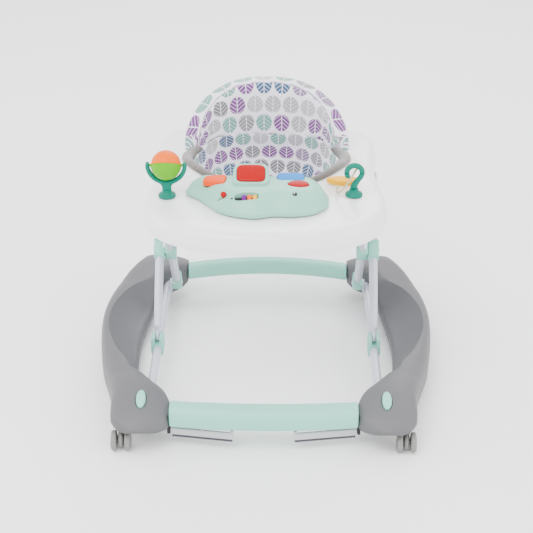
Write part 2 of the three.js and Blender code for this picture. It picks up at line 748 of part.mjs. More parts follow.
function makeSpinnerYoke() {
  const { x, y, z, inner, outer, deep } = SPINNER;
  const half = new THREE.Shape().absarc(0, 0, outer, Math.PI, 2 * Math.PI);
  half.lineTo(outer, 5).lineTo(inner, 5).lineTo(inner, 0);
  half.absarc(0, 0, inner, 2 * Math.PI, Math.PI, true);
  half.lineTo(-inner, 5).lineTo(-outer, 5);
  const fork = new THREE.ExtrudeGeometry(half, { depth: deep, bevelEnabled: false, curveSegments: 12 });
  let yoke = solid(fork.translate(0, 0, -deep / 2).rotateX(Math.PI / 2).translate(x, y, z));
  yoke = yoke.add(box(x, y, (TRAY_FACE + z - outer + 4) / 2, 20, deep, z - outer + 4 - TRAY_FACE));
  yoke = yoke.add(rod("z", x, y, TRAY_FACE + 3, 17.5, 6, SIDES.round));
  return yoke.subtract(rod("x", x, y, z, 3 + GAP, 2 * outer + 10));
}

function makeBallHalf(top) {
  const { x, y, z, ball } = SPINNER;
  const sphere = solid(new THREE.SphereGeometry(ball, SIDES.round, 12));
  const keep = box(0, 0, top ? 50.15 : -50.15, 100, 100, 100);
  const pins = rod("x", 0, 0, 0, top ? 3 + GAP : 3, 2 * SPINNER.outer - 4);
  const half = top ? sphere.intersect(keep).subtract(pins) : sphere.intersect(keep).add(pins);
  return tilted(half, -SPINNER.turned, x, y, z);
}

// ---- hook stand, its strap and the teether on the strap ----
const HOOK = { x: 176, y: -67, z: 479, radius: 15.2 };

function makeHook() {
  const { x, y, z, radius } = HOOK;
  const turn = [228, 205, 180, 150, 120, 90, 60, 30, 0, -28].map((d) => {
    const a = THREE.MathUtils.degToRad(d);
    return new THREE.Vector3(x + radius * Math.cos(a), y, z + radius * Math.sin(a));
  });
  const post = [[x + 5, z - 19], [x, z - 28], [x, TRAY_FACE + 3]];
  turn.push(...post.map(([px, pz]) => new THREE.Vector3(px, y, pz)));
  const path = new THREE.CatmullRomCurve3(turn);
  const section = ovalShape(12, 10.5, 8);
  const loop = solid(new THREE.ExtrudeGeometry(section, { steps: 18, extrudePath: path }));
  const foot = rod("z", x, y, TRAY_FACE + 3, 17.5, 6, SIDES.round);
  return loop.add(foot).add(box(x, y, (TRAY_FACE + 452) / 2, 18, 11, 452 - TRAY_FACE));
}

function makeStrap() {
  const path = new THREE.CatmullRomCurve3(
    [
      [184, -54, 488],
      [177, -67, 481],
      [166, -81, 468],
      [153, -88, 452],
      [144, -80, 441],
      [142, -62, 437],
      [144, -46, 440],
    ].map((p) => new THREE.Vector3(...p)),
  );
  const section = new THREE.Shape().absellipse(0, 0, 1.4, 2.4, 0, 2 * Math.PI);
  return solid(new THREE.ExtrudeGeometry(section, { steps: 16, extrudePath: path, curveSegments: 4 }));
}

function makeTeether() {
  const shape = new THREE.Shape();
  shape.moveTo(-30, 4).bezierCurveTo(-14, 14, 10, 14, 30, 8);
  shape.bezierCurveTo(36, 2, 36, -6, 28, -10);
  shape.bezierCurveTo(10, -12, -12, -12, -30, 4);
  const options = { depth: 7, bevelThickness: 2, bevelSize: 2, bevelSegments: 1, curveSegments: 6 };
  const geometry = new THREE.ExtrudeGeometry(shape, options);
  return solid(geometry.rotateX(0.12).translate(154, -28, 439));
}

// ---- seat: sling, back pad and the padded trim over the collar ----
function ovalRing(halfX, halfY, z, count = 24) {
  return range(count).map((k) => {
    const a = (2 * Math.PI * k) / count;
    return [halfX * Math.cos(a), OPENING.y + halfY * Math.sin(a), z];
  });
}

const SLING_LEVELS = [
  [44, 34, 256],
  [74, 58, 264],
  [104, 82, 286],
  [126, 102, 326],
  [143, 116, 378],
  [152, 123, 432],
];
const LEG_HOLE = { x: 66, z: 316, radius: 46 };

function makeSling() {
  const thick = 4;
  let sling = loft(SLING_LEVELS.map(([a, b, z]) => ovalRing(a, b, z)));
  const inside = SLING_LEVELS.map(([a, b, z], i) => ovalRing(a - thick, b - thick, z + (i < 2 ? thick : 0)));
  sling = sling.subtract(loft([...inside, ovalRing(148, 119, 450)]));
  for (const side of [-1, 1]) {
    const hole = rod("y", side * LEG_HOLE.x, OPENING.y - 90, LEG_HOLE.z, LEG_HOLE.radius, 160, SIDES.round);
    sling = sling.subtract(hole);
  }
  return sling;
}

// The trim runs round the sides and the front; the seat back closes the rear.
const TRIM = { end: THREE.MathUtils.degToRad(40), cover: 9.5 };

function makeTrim() {
  return loft(
    range(AROUND - 8).map((i) => {
      const angle = mix(-Math.PI - TRIM.end, TRIM.end, i / (AROUND - 9));
      const top = TRAY.top + collarRise(angle);
      const reach = 3 + 10 * Math.abs(Math.cos(angle));
      const at = (out, z) => [
        (OPENING.halfX + out) * Math.cos(angle),
        OPENING.y + (OPENING.halfY + out) * Math.sin(angle),
        z,
      ];
      return [
        at(reach - 1, top + 1.2),
        at(reach, top + 5),
        at(reach * 0.5, top + TRIM.cover),
        at(-3, top + TRIM.cover - 0.5),
        at(-7, top + 2),
        at(-8, top - 22),
        at(-3.5, top - 22),
        at(-2.2, top + 1.2),
      ];
    }),
  );
}

const BACK = { halfX: 174, startY: 150, depth: 92, thickX: 36, thickY: 42, spread: 86 };

// The seat back stands just clear of the collar, and of the trim where the trim is under it.
function backBottom([x, y]) {
  const angle = Math.atan2((y - OPENING.y) / OPENING.halfY, Math.abs(x) / OPENING.halfX);
  const overTrim = 1 - smooth(TRIM.end + 0.03, TRIM.end + 0.2, angle);
  return TRAY.top + collarRise(angle) + 4 + overTrim * (TRIM.cover - 2);
}

function makeSeatBack() {
  return loft(
    range(21).map((i) => {
      const a = THREE.MathUtils.degToRad(mix(-BACK.spread, BACK.spread, i / 20));
      const outer = [BACK.halfX * Math.sin(a), BACK.startY + BACK.depth * Math.cos(a)];
      const inner = [
        (BACK.halfX - BACK.thickX) * Math.sin(a),
        BACK.startY + (BACK.depth - BACK.thickY) * Math.cos(a),
      ];
      const arch = Math.sqrt(1 - Math.abs(outer[0] / (BACK.halfX + 2)) ** 2.6);
      const bottom = Math.max(backBottom(inner), backBottom(outer));
      const top = Math.max(mix(442, SEAT_TOP, arch), bottom + 8);
      return [
        [0.08, 0],
        [0, 0.1],
        [0, 0.5],
        [0.02, 0.86],
        [0.14, 0.97],
        [0.5, 1],
        [0.86, 0.99],
        [1, 0.9],
        [1, 0.5],
        [1, 0.1],
        [0.9, 0],
      ].map(([out, up]) => {
        return [mix(inner[0], outer[0], out), mix(inner[1], outer[1], out), mix(bottom, top, up)];
      });
    }),
  );
}

// ---- assembly ----
addPair("side_shell", "greyShell", makeShell());
addPair("release_button", "mint", makeButton());
for (const [end, bar] of Object.entries(BARS)) {
  add(end + "_crossbar", "mint", makeCrossbar(bar));
  add(end + "_cross_tube", "tube", bowedTube(bar, CROSS_TUBE_R, JOINT_X + 45, TUBE.wall));
  addPair(end + "_castor_fork", "castor", makeCastorFork(bar.end));
  addPair(end + "_wheel_set", "castor", makeWheelSet(bar.end));
}
addPair("brake_strip", "strip", makeStrip());
addPair("strip_rubber", "rubber", makeStripRubber());
addPair("base_rail", "tube", makeRail());
addPair("rear_leg", "tube", makeRearLeg());
addPair("rear_foot", "mint", makeRearFoot());
addPair("inner_cross_block", "mint", makeCrossBlock(false));
addPair("front_leg", "tube", makeFrontLeg());
addPair("outer_cross_block", "mint", makeCrossBlock(true));
addPair("height_slider", "mint", makeSlider());
add("tray_top", "white", makeTrayTop());
add("tray_base", "white", makeTrayBase());
add("panel_housing", "mint", makePanel());
add("orange_key", "keyOrange", roundedKey(KEYS.orange, 0, KEY_DEPTH));
add("screen_key", "red", roundedKey(KEYS.screen, 0, KEY_DEPTH));
add("blue_key", "blue", roundedKey(KEYS.blue, 0, KEY_DEPTH));
add("oval_button", "red", roundedKey(KEYS.oval, 0, KEY_DEPTH));
add("panel_eye", "black", makeEye());
add("slider_knob", "red", makeSliderKnob());
add("bead_rod", "tube", makeBeadRod());
["purple", "orange", "yellow"].forEach((colour, i) => add("bead_" + colour, colour, makeBead(i)));
add("spinner_yoke", "teal", makeSpinnerYoke());
add("ball_top", "orange", makeBallHalf(true));
add("ball_bottom", "lime", makeBallHalf(false));
add("hook_stand", "teal", makeHook());
add("hook_strap", "cream", makeStrap());
add("teether", "yellow", makeTeether());
add("seat_sling", "fabric", makeSling());
add("seat_back", "fabric", makeSeatBack());
add("seat_trim", "trim", makeTrim());

export default walker;
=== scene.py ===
# %% [markdown]
# # A baby walker, from frame to looks
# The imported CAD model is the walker's skeleton: it says where every piece is and what moves with what.
# This lesson gives each piece its visible surface. Hard parts get smooth shells and moulded plastic,
# and the seat gets a padded, printed cloth.

# %% Load the frame
import json
import math

import bmesh
import bpy
import numpy as np
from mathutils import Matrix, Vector, noise


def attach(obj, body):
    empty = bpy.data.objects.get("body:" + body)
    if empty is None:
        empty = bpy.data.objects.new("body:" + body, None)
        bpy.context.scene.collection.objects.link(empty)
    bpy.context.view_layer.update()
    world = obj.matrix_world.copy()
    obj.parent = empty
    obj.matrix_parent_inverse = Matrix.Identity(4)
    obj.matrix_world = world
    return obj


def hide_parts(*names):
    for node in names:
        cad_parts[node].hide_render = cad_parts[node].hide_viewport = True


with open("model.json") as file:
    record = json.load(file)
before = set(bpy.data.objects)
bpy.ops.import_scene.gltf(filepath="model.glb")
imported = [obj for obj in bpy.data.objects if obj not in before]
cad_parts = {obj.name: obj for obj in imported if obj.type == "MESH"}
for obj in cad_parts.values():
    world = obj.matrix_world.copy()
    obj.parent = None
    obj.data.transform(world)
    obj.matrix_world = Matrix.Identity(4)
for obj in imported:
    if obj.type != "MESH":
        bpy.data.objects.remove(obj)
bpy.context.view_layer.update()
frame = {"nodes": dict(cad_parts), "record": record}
nodes = frame["nodes"]

# %% [markdown]
# ## Camera
# A long lens, a little above the tray and looking down 28 degrees, shows the whole walker at once.

# %% Camera
scene = bpy.context.scene
camera_data = bpy.data.cameras.new("camera")
camera_data.lens = 90.5
camera_data.sensor_width = 36
camera = bpy.data.objects.new("camera", camera_data)
camera.location = (0.034, -2.489, 1.556)
camera.rotation_euler = (math.radians(62), 0, math.radians(0.75))
scene.collection.objects.link(camera)
scene.camera = camera
print("camera at", tuple(round(c, 2) for c in camera.location))

# %% [markdown]
# ## Floor and light
# A pale floor and large soft lights keep the shadows faint, so that colours read cleanly.

# %% Floor and light
FLOOR_SIZE = 14.0


def node_material(name):
    """An empty material with its Principled shader; returns the material, its tree and the shader."""
    material = bpy.data.materials.new(name)
    material.use_nodes = True
    tree = material.node_tree
    return material, tree, tree.nodes["Principled BSDF"]


def make_floor():
    bpy.ops.mesh.primitive_plane_add(size=FLOOR_SIZE)
    floor = bpy.context.object
    floor.name = "floor"
    material, tree, shader = node_material("pale floor")
    shader.inputs["Roughness"].default_value = 0.9
    shader.inputs["Specular IOR Level"].default_value = 0.1
    coords = tree.nodes.new("ShaderNodeTexCoord")
    cloud = tree.nodes.new("ShaderNodeTexNoise")
    cloud.inputs["Scale"].default_value = 0.8
    ramp = tree.nodes.new("ShaderNodeValToRGB")
    ramp.color_ramp.elements[0].color = (0.93, 0.93, 0.93, 1)
    ramp.color_ramp.elements[1].color = (0.96, 0.96, 0.96, 1)
    tree.links.new(coords.outputs["Object"], cloud.inputs["Vector"])
    tree.links.new(cloud.outputs["Fac"], ramp.inputs["Fac"])
    tree.links.new(ramp.outputs["Color"], shader.inputs["Base Color"])
    floor.data.materials.append(material)
    return floor


def area_light(name, place, aim, size, power):
    data = bpy.data.lights.new(name, "AREA")
    data.shape = "DISK"
    data.size = size
    data.energy = power
    light = bpy.data.objects.new(name, data)
    light.location = place
    light.rotation_euler = (Vector(aim) - Vector(place)).to_track_quat("-Z", "Y").to_euler()
    scene.collection.objects.link(light)


make_floor()
AIM = (0, 0, 0.3)
area_light("key", (-0.9, -1.6, 3.0), AIM, 2.2, 95)
area_light("fill right", (2.6, -1.2, 1.8), AIM, 2.4, 46)
area_light("fill left", (-2.8, 0.4, 1.6), AIM, 2.2, 38)
area_light("rear top", (0.4, 2.4, 2.4), AIM, 2.0, 50)
world = bpy.data.worlds.new("studio")
world.use_nodes = True
world.node_tree.nodes["Background"].inputs["Color"].default_value = (1, 1, 1, 1)
world.node_tree.nodes["Background"].inputs["Strength"].default_value = 2.1
scene.world = world

# %% [markdown]
# ## Shared texture groups
# A node group is a small machine that several materials share. `moulding` gives the fine grain of
# moulded plastic, `weave` the threads of a cloth and `leaf print` the printed pattern.

# %% Texture groups


class Graph:
    """A short way to add nodes: graph.math("ADD", a, b) returns the new node's output."""

    def __init__(self, tree):
        self.tree = tree

    def feed(self, socket, value):
        if isinstance(value, bpy.types.NodeSocket):
            self.tree.links.new(value, socket)
        elif value is not None:
            socket.default_value = value

    def node(self, kind, **settings):
        node = self.tree.nodes.new("ShaderNode" + kind)
        for key, value in settings.items():
            setattr(node, key, value)
        return node

    def math(self, operation, a, b=None, c=None):
        node = self.node("Math", operation=operation)
        for socket, value in zip(node.inputs, (a, b, c)):
            self.feed(socket, value)
        return node.outputs[0]

    def step(self, value, low, high):
        """0 below low, 1 above high and smooth between."""
        node = self.node("MapRange", interpolation_type="SMOOTHSTEP")
        for key, item in (("Value", value), ("From Min", low), ("From Max", high)):
            self.feed(node.inputs[key], item)
        return node.outputs["Result"]

    def noise(self, vector, scale, detail=3.0, rough=0.5):
        node = self.node("TexNoise")
        self.feed(node.inputs["Vector"], vector)
        self.feed(node.inputs["Scale"], scale)
        node.inputs["Detail"].default_value = detail
        node.inputs["Roughness"].default_value = rough
        return node.outputs["Fac"]

    def mix(self, factor, a, b, blend="MIX"):
        node = self.node("Mix", data_type="RGBA", blend_type=blend)
        for key, value in ((0, factor), (6, a), (7, b)):
            self.feed(node.inputs[key], value)
        return node.outputs[2]


def new_group(name, inputs, outputs):
    group = bpy.data.node_groups.new(name, "ShaderNodeTree")
    for label, kind in inputs:
        group.interface.new_socket(label, in_out="INPUT", socket_type="NodeSocket" + kind)
    for label, kind in outputs:
        group.interface.new_socket(label, in_out="OUTPUT", socket_type="NodeSocket" + kind)
    graph = Graph(group)
    start = group.nodes.new("NodeGroupInput").outputs
    end = group.nodes.new("NodeGroupOutput").inputs
    return group, graph, start, end


def make_moulding():
    """Fine grain, faint flow clouding and a few hairline scuffs in moulded plastic."""
    group, g, start, end = new_group(
        "moulding",
        [("Vector", "Vector"), ("Grain", "Float"), ("Color", "Color")],
        [("Color", "Color"), ("Roughness", "Float"), ("Height", "Float")],
    )
    grain = g.noise(start["Vector"], start["Grain"], 2.0, 0.6)
    cloud = g.noise(start["Vector"], 9.0, 3.0, 0.5)
    stretch = g.node("Mapping")
    stretch.inputs["Scale"].default_value = (1.0, 14.0, 9.0)
    stretch.inputs["Rotation"].default_value = (0.4, 0.2, 0.7)
    g.feed(stretch.inputs["Vector"], start["Vector"])
    scuff = g.noise(stretch.outputs["Vector"], 22.0, 4.0, 0.7)
    scratch = g.step(scuff, 0.66, 0.72)
    shade = g.math("MULTIPLY_ADD", cloud, 0.07, 0.965)
    grey = g.node("CombineColor")
    for channel in grey.inputs:
        g.feed(channel, shade)
    g.feed(end["Color"], g.mix(1.0, start["Color"], grey.outputs[0], "MULTIPLY"))
    rough = g.math("MULTIPLY_ADD", grain, 0.14, -0.07)
    g.feed(end["Roughness"], g.math("MULTIPLY_ADD", scratch, 0.08, rough))
    g.feed(end["Height"], g.math("MULTIPLY_ADD", scratch, -0.4, grain))
    return group


def make_weave():
    """Threads over and under each other, with painted shade in the gaps between them; the vector is measured
    in metres on the cloth.
    """
    group, g, start, end = new_group(
        "weave",
        [("Vector", "Vector"), ("Pitch", "Float")],
        [("Height", "Float"), ("Shade", "Float")],
    )
    split = g.node("SeparateXYZ")
    g.feed(split.inputs[0], start["Vector"])
    turn = g.math("DIVIDE", math.pi, start["Pitch"])
    across = g.math("ABSOLUTE", g.math("SINE", g.math("MULTIPLY", split.outputs[0], turn)))
    down = g.math("ABSOLUTE", g.math("SINE", g.math("MULTIPLY", split.outputs[1], turn)))
    threads = g.math("MAXIMUM", across, down)
    slub = g.noise(start["Vector"], 260.0, 3.0, 0.6)
    g.feed(end["Height"], g.math("MULTIPLY_ADD", slub, 0.5, threads))
    # The second output is painted shade, darker in the gaps between the threads, plus the yarn's own uneven
    # slub tone.
    g.feed(end["Shade"], g.math("MULTIPLY_ADD", threads, 0.06, g.math("MULTIPLY_ADD", slub, 0.08, 0.89)))
    return group


LEAF = {"across": 0.0385, "down": 0.0425, "wide": 0.0172, "tall": 0.0194}
LEAF_COLOURS = [
    (0.155, 0.032, 0.200),
    (0.100, 0.290, 0.245),
    (0.200, 0.190, 0.205),
    (0.100, 0.290, 0.245),
    (0.028, 0.085, 0.180),
    (0.330, 0.320, 0.345),
    (0.155, 0.032, 0.200),
    (0.210, 0.130, 0.260),
    (0.145, 0.145, 0.155),
    (0.400, 0.390, 0.420),
]


def make_leaf_print():
    """Round leaves in staggered rows, each with a centre vein and V-shaped side veins."""
    group, g, start, end = new_group(
        "leaf print", [("Vector", "Vector")], [("Color", "Color"), ("Mask", "Float")]
    )
    split = g.node("SeparateXYZ")
    g.feed(split.inputs[0], start["Vector"])
    v = g.math("DIVIDE", split.outputs[1], LEAF["down"])
    row = g.math("FLOOR", v)
    odd = g.math("FLOORED_MODULO", row, 2.0)
    u = g.math("MULTIPLY_ADD", odd, 0.5, g.math("DIVIDE", split.outputs[0], LEAF["across"]))
    column = g.math("FLOOR", u)
    flip = g.math("MULTIPLY_ADD", odd, -2.0, 1.0)
    x = g.math("MULTIPLY", g.math("SUBTRACT", g.math("FRACT", u), 0.5), LEAF["across"] / LEAF["wide"])
    y = g.math("MULTIPLY", g.math("SUBTRACT", g.math("FRACT", v), 0.5), LEAF["down"] / LEAF["tall"])
    y = g.math("MULTIPLY", y, flip)
    side = g.math("ABSOLUTE", x)
    # A leaf is a little wider below its middle than above it.
    wide = g.math("MULTIPLY", x, g.math("MULTIPLY_ADD", y, 0.1, 1.0))
    radius = g.math("SQRT", g.math("ADD", g.math("POWER", wide, 2.0), g.math("POWER", y, 2.0)))
    shape = g.math("SUBTRACT", 1.0, g.step(radius, 0.97, 1.03))
    centre = g.step(side, 0.030, 0.060)
    slant = g.math("MULTIPLY_ADD", side, -0.75, y)
    wave = g.math("PINGPONG", g.math("ADD", slant, 0.12), 0.235)
    veins = g.step(wave, 0.018, 0.042)
    mask = g.math("MULTIPLY", shape, g.math("MULTIPLY", centre, veins))
    cell = g.node("CombineXYZ")
    g.feed(cell.inputs[0], column)
    g.feed(cell.inputs[1], row)
    dice = g.node("TexWhiteNoise", noise_dimensions="2D")
    g.feed(dice.inputs["Vector"], cell.outputs[0])
    ramp = g.node("ValToRGB")
    ramp.color_ramp.interpolation = "CONSTANT"
    stops = ramp.color_ramp.elements
    for i, colour in enumerate(LEAF_COLOURS):
        stop = stops[i] if i < 1 else stops.new(i / len(LEAF_COLOURS))
        stop.color = (*colour, 1)
    g.feed(ramp.inputs["Fac"], dice.outputs["Value"])
    g.feed(end["Color"], ramp.outputs["Color"])
    g.feed(end["Mask"], mask)
    return group


MOULDING = make_moulding()
WEAVE = make_weave()
LEAF_PRINT = make_leaf_print()
print("groups:", [group.name for group in bpy.data.node_groups])

# %% [markdown]
# ## Materials
# Each finish is one procedural material. Plastics share the `moulding` group, which varies their
# colour, roughness and height a little; the steel tubes have a powder coat with a fine orange peel.

# %% Materials
MILLIMETRE = 0.001


def srgb(red, green, blue):
    """0-255 screen colour to the linear colour that a shader wants."""
    def line(c):
        c /= 255
        return c / 12.92 if c <= 0.04045 else ((c + 0.055) / 1.055) ** 2.4
    return (line(red), line(green), line(blue), 1)


def bump(graph, shader, height, strength, distance):
    node = graph.node("Bump")
    node.inputs["Strength"].default_value = strength
    node.inputs["Distance"].default_value = distance
    graph.feed(node.inputs["Height"], height)
    graph.feed(shader.inputs["Normal"], node.outputs["Normal"])


def plastic(name, colour, rough=0.4, grain=420.0, relief=0.12, coat=0.0, shine=0.5):
    """Moulded plastic: grain is how many grains there are in a metre, relief how deep they look."""
    material, tree, shader = node_material(name)
    graph = Graph(tree)
    coords = graph.node("TexCoord")
    group = graph.node("Group")
    group.node_tree = MOULDING
    graph.feed(group.inputs["Vector"], coords.outputs["Object"])
    group.inputs["Grain"].default_value = grain
    group.inputs["Color"].default_value = srgb(*colour)
    graph.feed(shader.inputs["Base Color"], group.outputs["Color"])
    graph.feed(shader.inputs["Roughness"], graph.math("ADD", group.outputs["Roughness"], rough))
    shader.inputs["Coat Weight"].default_value = coat
    shader.inputs["Coat Roughness"].default_value = 0.12
    shader.inputs["Specular IOR Level"].default_value = shine
    bump(graph, shader, group.outputs["Height"], relief, 0.0004)
    return material


def coated_steel(name, colour, rough=0.32):
    """Powder-coated tube: a fine orange peel over satin metal paint."""
    material, tree, shader = node_material(name)
    graph = Graph(tree)
    coords = graph.node("TexCoord")
    peel = graph.noise(coords.outputs["Object"], 700.0, 2.0, 0.4)
    cloud = graph.noise(coords.outputs["Object"], 30.0, 3.0, 0.5)
    dark = tuple(c * 0.9 for c in srgb(*colour)[:3]) + (1,)
    graph.feed(shader.inputs["Base Color"], graph.mix(cloud, dark, srgb(*colour)))
    graph.feed(shader.inputs["Roughness"], graph.math("MULTIPLY_ADD", peel, 0.12, rough))
    shader.inputs["Metallic"].default_value = 0.15
    shader.inputs["Coat Weight"].default_value = 0.25
    bump(graph, shader, peel, 0.12, 0.0003)
    return material


def cloth(name, colour, printed=False, pitch=0.0011, soft=0.35):
    """Woven cloth on UVs in metres; `printed` adds the leaves, and creases darken a little."""
    material, tree, shader = node_material(name)
    graph = Graph(tree)
    coords = graph.node("TexCoord")
    weave = graph.node("Group")
    weave.node_tree = WEAVE
    graph.feed(weave.inputs["Vector"], coords.outputs["UV"])
    weave.inputs["Pitch"].default_value = pitch
    ground = srgb(*colour)
    if printed:
        leaves = graph.node("Group")
        leaves.node_tree = LEAF_PRINT
        graph.feed(leaves.inputs["Vector"], coords.outputs["UV"])
        ground = graph.mix(leaves.outputs["Mask"], ground, leaves.outputs["Color"])
    # Multiplying by the weave's second output paints shade into the gaps between threads, and adds the yarn's
    # slub tone.
    shade = graph.node("CombineColor")
    for channel in shade.inputs:
        graph.feed(channel, weave.outputs["Shade"])
    graph.feed(shader.inputs["Base Color"], graph.mix(1.0, ground, shade.outputs[0], "MULTIPLY"))
    shader.inputs["Roughness"].default_value = 0.85
    shader.inputs["Specular IOR Level"].default_value = 0.2
    shader.inputs["Sheen Weight"].default_value = soft
    shader.inputs["Sheen Roughness"].default_value = 0.6
    creases = graph.noise(coords.outputs["Object"], 26.0, 3.0, 0.55)
    height = graph.math("MULTIPLY_ADD", creases, 5.0, weave.outputs["Height"])
    bump(graph, shader, height, 0.35, 0.0006)
    return material


LOOKS = {
    "grey_shell": plastic("grey shell", (92, 92, 95), 0.52, 900.0, 0.30, 0.0, 0.35),
    "mint": plastic("mint", (134, 200, 182), 0.42, 700.0, 0.15, 0.0, 0.3),
    "tray_white": plastic("tray white", (240, 240, 242), 0.30, 300.0, 0.08, 0.3),
    "strip": plastic("strip", (178, 178, 181), 0.38, 600.0, 0.15),
    "grip_rubber": plastic("grip rubber", (70, 64, 74), 0.8, 1500.0, 0.6),
    "castor_grey": plastic("castor grey", (124, 124, 121), 0.5, 800.0, 0.25),
    "teal": plastic("teal", (0, 112, 94), 0.34, 300.0, 0.08, 0.0, 0.12),
    "orange": plastic("orange", (232, 98, 0), 0.34, 300.0, 0.08, 0.0, 0.12),
    "lime": plastic("lime", (88, 164, 0), 0.34, 300.0, 0.08, 0.0, 0.1),
    "key_orange": plastic("key orange", (224, 72, 4), 0.38, 400.0, 0.10, 0.0, 0.12),
    "red": plastic("red", (158, 0, 6), 0.26, 200.0, 0.05, 0.0, 0.14),
    "blue": plastic("blue", (38, 126, 200), 0.38, 400.0, 0.10, 0.0, 0.15),
    "black": plastic("black", (8, 8, 9), 0.16, 200.0, 0.03, 0.3),
    "bead_purple": plastic("bead purple", (104, 8, 124), 0.28, 300.0, 0.05, 0.0, 0.15),
    "yellow": plastic("yellow", (236, 170, 0), 0.34, 300.0, 0.08, 0.0, 0.12),
    "tube": coated_steel("tube", (196, 198, 212)),
    "cream": cloth("cream", (176, 164, 132), pitch=0.0016),
    "printed_fabric": cloth("printed fabric", (234, 228, 240), printed=True),
    "trim_fabric": cloth("trim fabric", (88, 82, 78), pitch=0.0009, soft=0.5),
}
DARK = plastic("shadowed plastic", (26, 26, 28), 0.7, 800.0, 0.2)
PANEL_MINT = plastic("panel mint", (134, 192, 172), 0.36, 400.0, 0.10, 0.0, 0.3)
print(len(LOOKS), "looks")

# %% [markdown]
# ## Building surfaces
# Most pieces are lofts: rings of points, in millimetres, skinned one after another. The same small
# set of helpers makes them all, and `finish_piece` hands each to the body that it moves with.

# %% Surface helpers


def finish_piece(obj, body, slot, material=None, stands_for=()):
    obj.name = obj.name.replace(" ", "_")
    obj.data.materials.clear()
    obj.data.materials.append(material or LOOKS[slot])
    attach(obj, body)
    if stands_for:
        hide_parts(*([stands_for] if isinstance(stands_for, str) else stands_for))
    return obj


def mesh_piece(name, points, faces, uvs=None, angle=40):
    """A smooth-shaded object from points in millimetres; uvs, one per point, are in metres."""
    mesh = bpy.data.meshes.new(name)
    mesh.from_pydata([tuple(float(c) * MILLIMETRE for c in p) for p in points], [], faces)
    mesh.validate()
    if uvs is not None:
        layer = mesh.uv_layers.new(name="cloth")
        corners = np.zeros(len(mesh.loops), np.int32)
        mesh.loops.foreach_get("vertex_index", corners)
        layer.data.foreach_set("uv", np.asarray(uvs, np.float32)[corners].ravel())
    obj = bpy.data.objects.new(name, mesh)
    scene.collection.objects.link(obj)
    return smoothed(obj, angle)


def smoothed(obj, angle=40):
    """Normals outward, and smooth shading except over edges sharper than `angle` degrees."""
    work = bmesh.new()
    work.from_mesh(obj.data)
    bmesh.ops.remove_doubles(work, verts=work.verts, dist=1e-6)
    bmesh.ops.recalc_face_normals(work, faces=work.faces)
    work.to_mesh(obj.data)
    work.free()
    obj.data.shade_smooth()
    obj.data.set_sharp_from_angle(angle=math.radians(angle))
    return obj


def loft(name, rings, closed=False, caps=True, uvs=None, angle=40):
    """Skins rings of equal length; `closed` joins the last ring to the first."""
    rows, count = len(rings), len(rings[0])
    points = [p for ring in rings for p in ring]
    faces = []
    for i in range(rows if closed else rows - 1):
        for k in range(count):
            a, b = i * count + k, i * count + (k + 1) % count
            c, d = (i + 1) % rows * count + (k + 1) % count, (i + 1) % rows * count + k
            faces.append((a, b, c, d))
    if caps and not closed:
        faces.append(tuple(range(count)))
        faces.append(tuple(range((rows - 1) * count, rows * count)))
    flat = None if uvs is None else [uv for ring in uvs for uv in ring]
    return mesh_piece(name, points, faces, flat, angle)


def tube_along(name, path, radius, sides=14, closed=False, flat=1.0):
    """A round (or flattened) bar along a list of points."""
    points = [Vector(p) for p in path]
    count = len(points)
    rings = []
    up = Vector((0, 0, 1))
    for i, p in enumerate(points):
        before = points[(i - 1) % count] if closed or i else p
        after = points[(i + 1) % count] if closed or i < count - 1 else p
        ahead = (after - before).normalized()
        side = ahead.cross(up)
        side = side.normalized() if side.length > 1e-3 else Vector((1, 0, 0))
        top = side.cross(ahead).normalized()
        r = radius(i / (count - 1)) if callable(radius) else radius
        rings.append([
            p + side * (math.cos(a) * r) + top * (math.sin(a) * r * flat)
            for a in (2 * math.pi * k / sides for k in range(sides))
        ])
    return loft(name, rings, closed=closed)


def curve_points(controls, count, closed=False):
    """`count` points along a smooth curve through the controls (centripetal Catmull-Rom)."""
    knots = [np.array(c, float) for c in controls]
    if closed:
        knots = [knots[-1]] + knots + knots[:2]
    else:
        knots = [2 * knots[0] - knots[1]] + knots + [2 * knots[-1] - knots[-2]]
    dense = []
    for a, b, c, d in zip(knots, knots[1:], knots[2:], knots[3:]):
        t = [0.0]
        for p, q in ((a, b), (b, c), (c, d)):
            t.append(t[-1] + max(np.linalg.norm(q - p), 1e-6) ** 0.5)
        for s in np.linspace(t[1], t[2], 24, endpoint=False):
            def between(p, q, u, v):
                return (v - s) / (v - u) * p + (s - u) / (v - u) * q
            ab, bc, cd = between(a, b, t[0], t[1]), between(b, c, t[1], t[2]), between(c, d, t[2], t[3])
            dense.append(between(between(ab, bc, t[0], t[2]), between(bc, cd, t[1], t[3]), t[1], t[2]))
    dense.append(knots[-2] if not closed else dense[0])
    dense = np.array(dense)
    length = np.concatenate([[0], np.cumsum(np.linalg.norm(np.diff(dense, axis=0), axis=1))])
    at = np.linspace(0, length[-1], count, endpoint=not closed)
    return np.stack([np.interp(at, length, dense[:, k]) for k in range(dense.shape[1])], 1)


def along(stations):
    """A smooth value along [place, value] stations, as a Hermite curve."""
    places = [s[0] for s in stations]
    values = [s[1] for s in stations]

    def slope(i):
        a, b = max(i - 1, 0), min(i + 1, len(stations) - 1)
        return (values[b] - values[a]) / (places[b] - places[a])

    def value(at):
        if at <= places[0]:
            return values[0]
        if at >= places[-1]:
            return values[-1]
        i = max(k for k in range(len(places)) if places[k] <= at)
        h = places[i + 1] - places[i]
        t = (at - places[i]) / h
        s = 1 - t
        level = values[i] * (1 + 2 * t) * s * s + values[i + 1] * t * t * (1 + 2 * s)
        return level + h * t * s * (slope(i) * s - slope(i + 1) * t)

    return value


def mix(a, b, t):
    return a + (b - a) * t


def smooth(a, b, x):
    t = min(max((x - a) / (b - a), 0), 1)
    return t * t * (3 - 2 * t)


def power(value, exponent):
    """Keeps the sign: a cosine raised this way squares off an oval."""
    return math.copysign(abs(value) ** exponent, value)


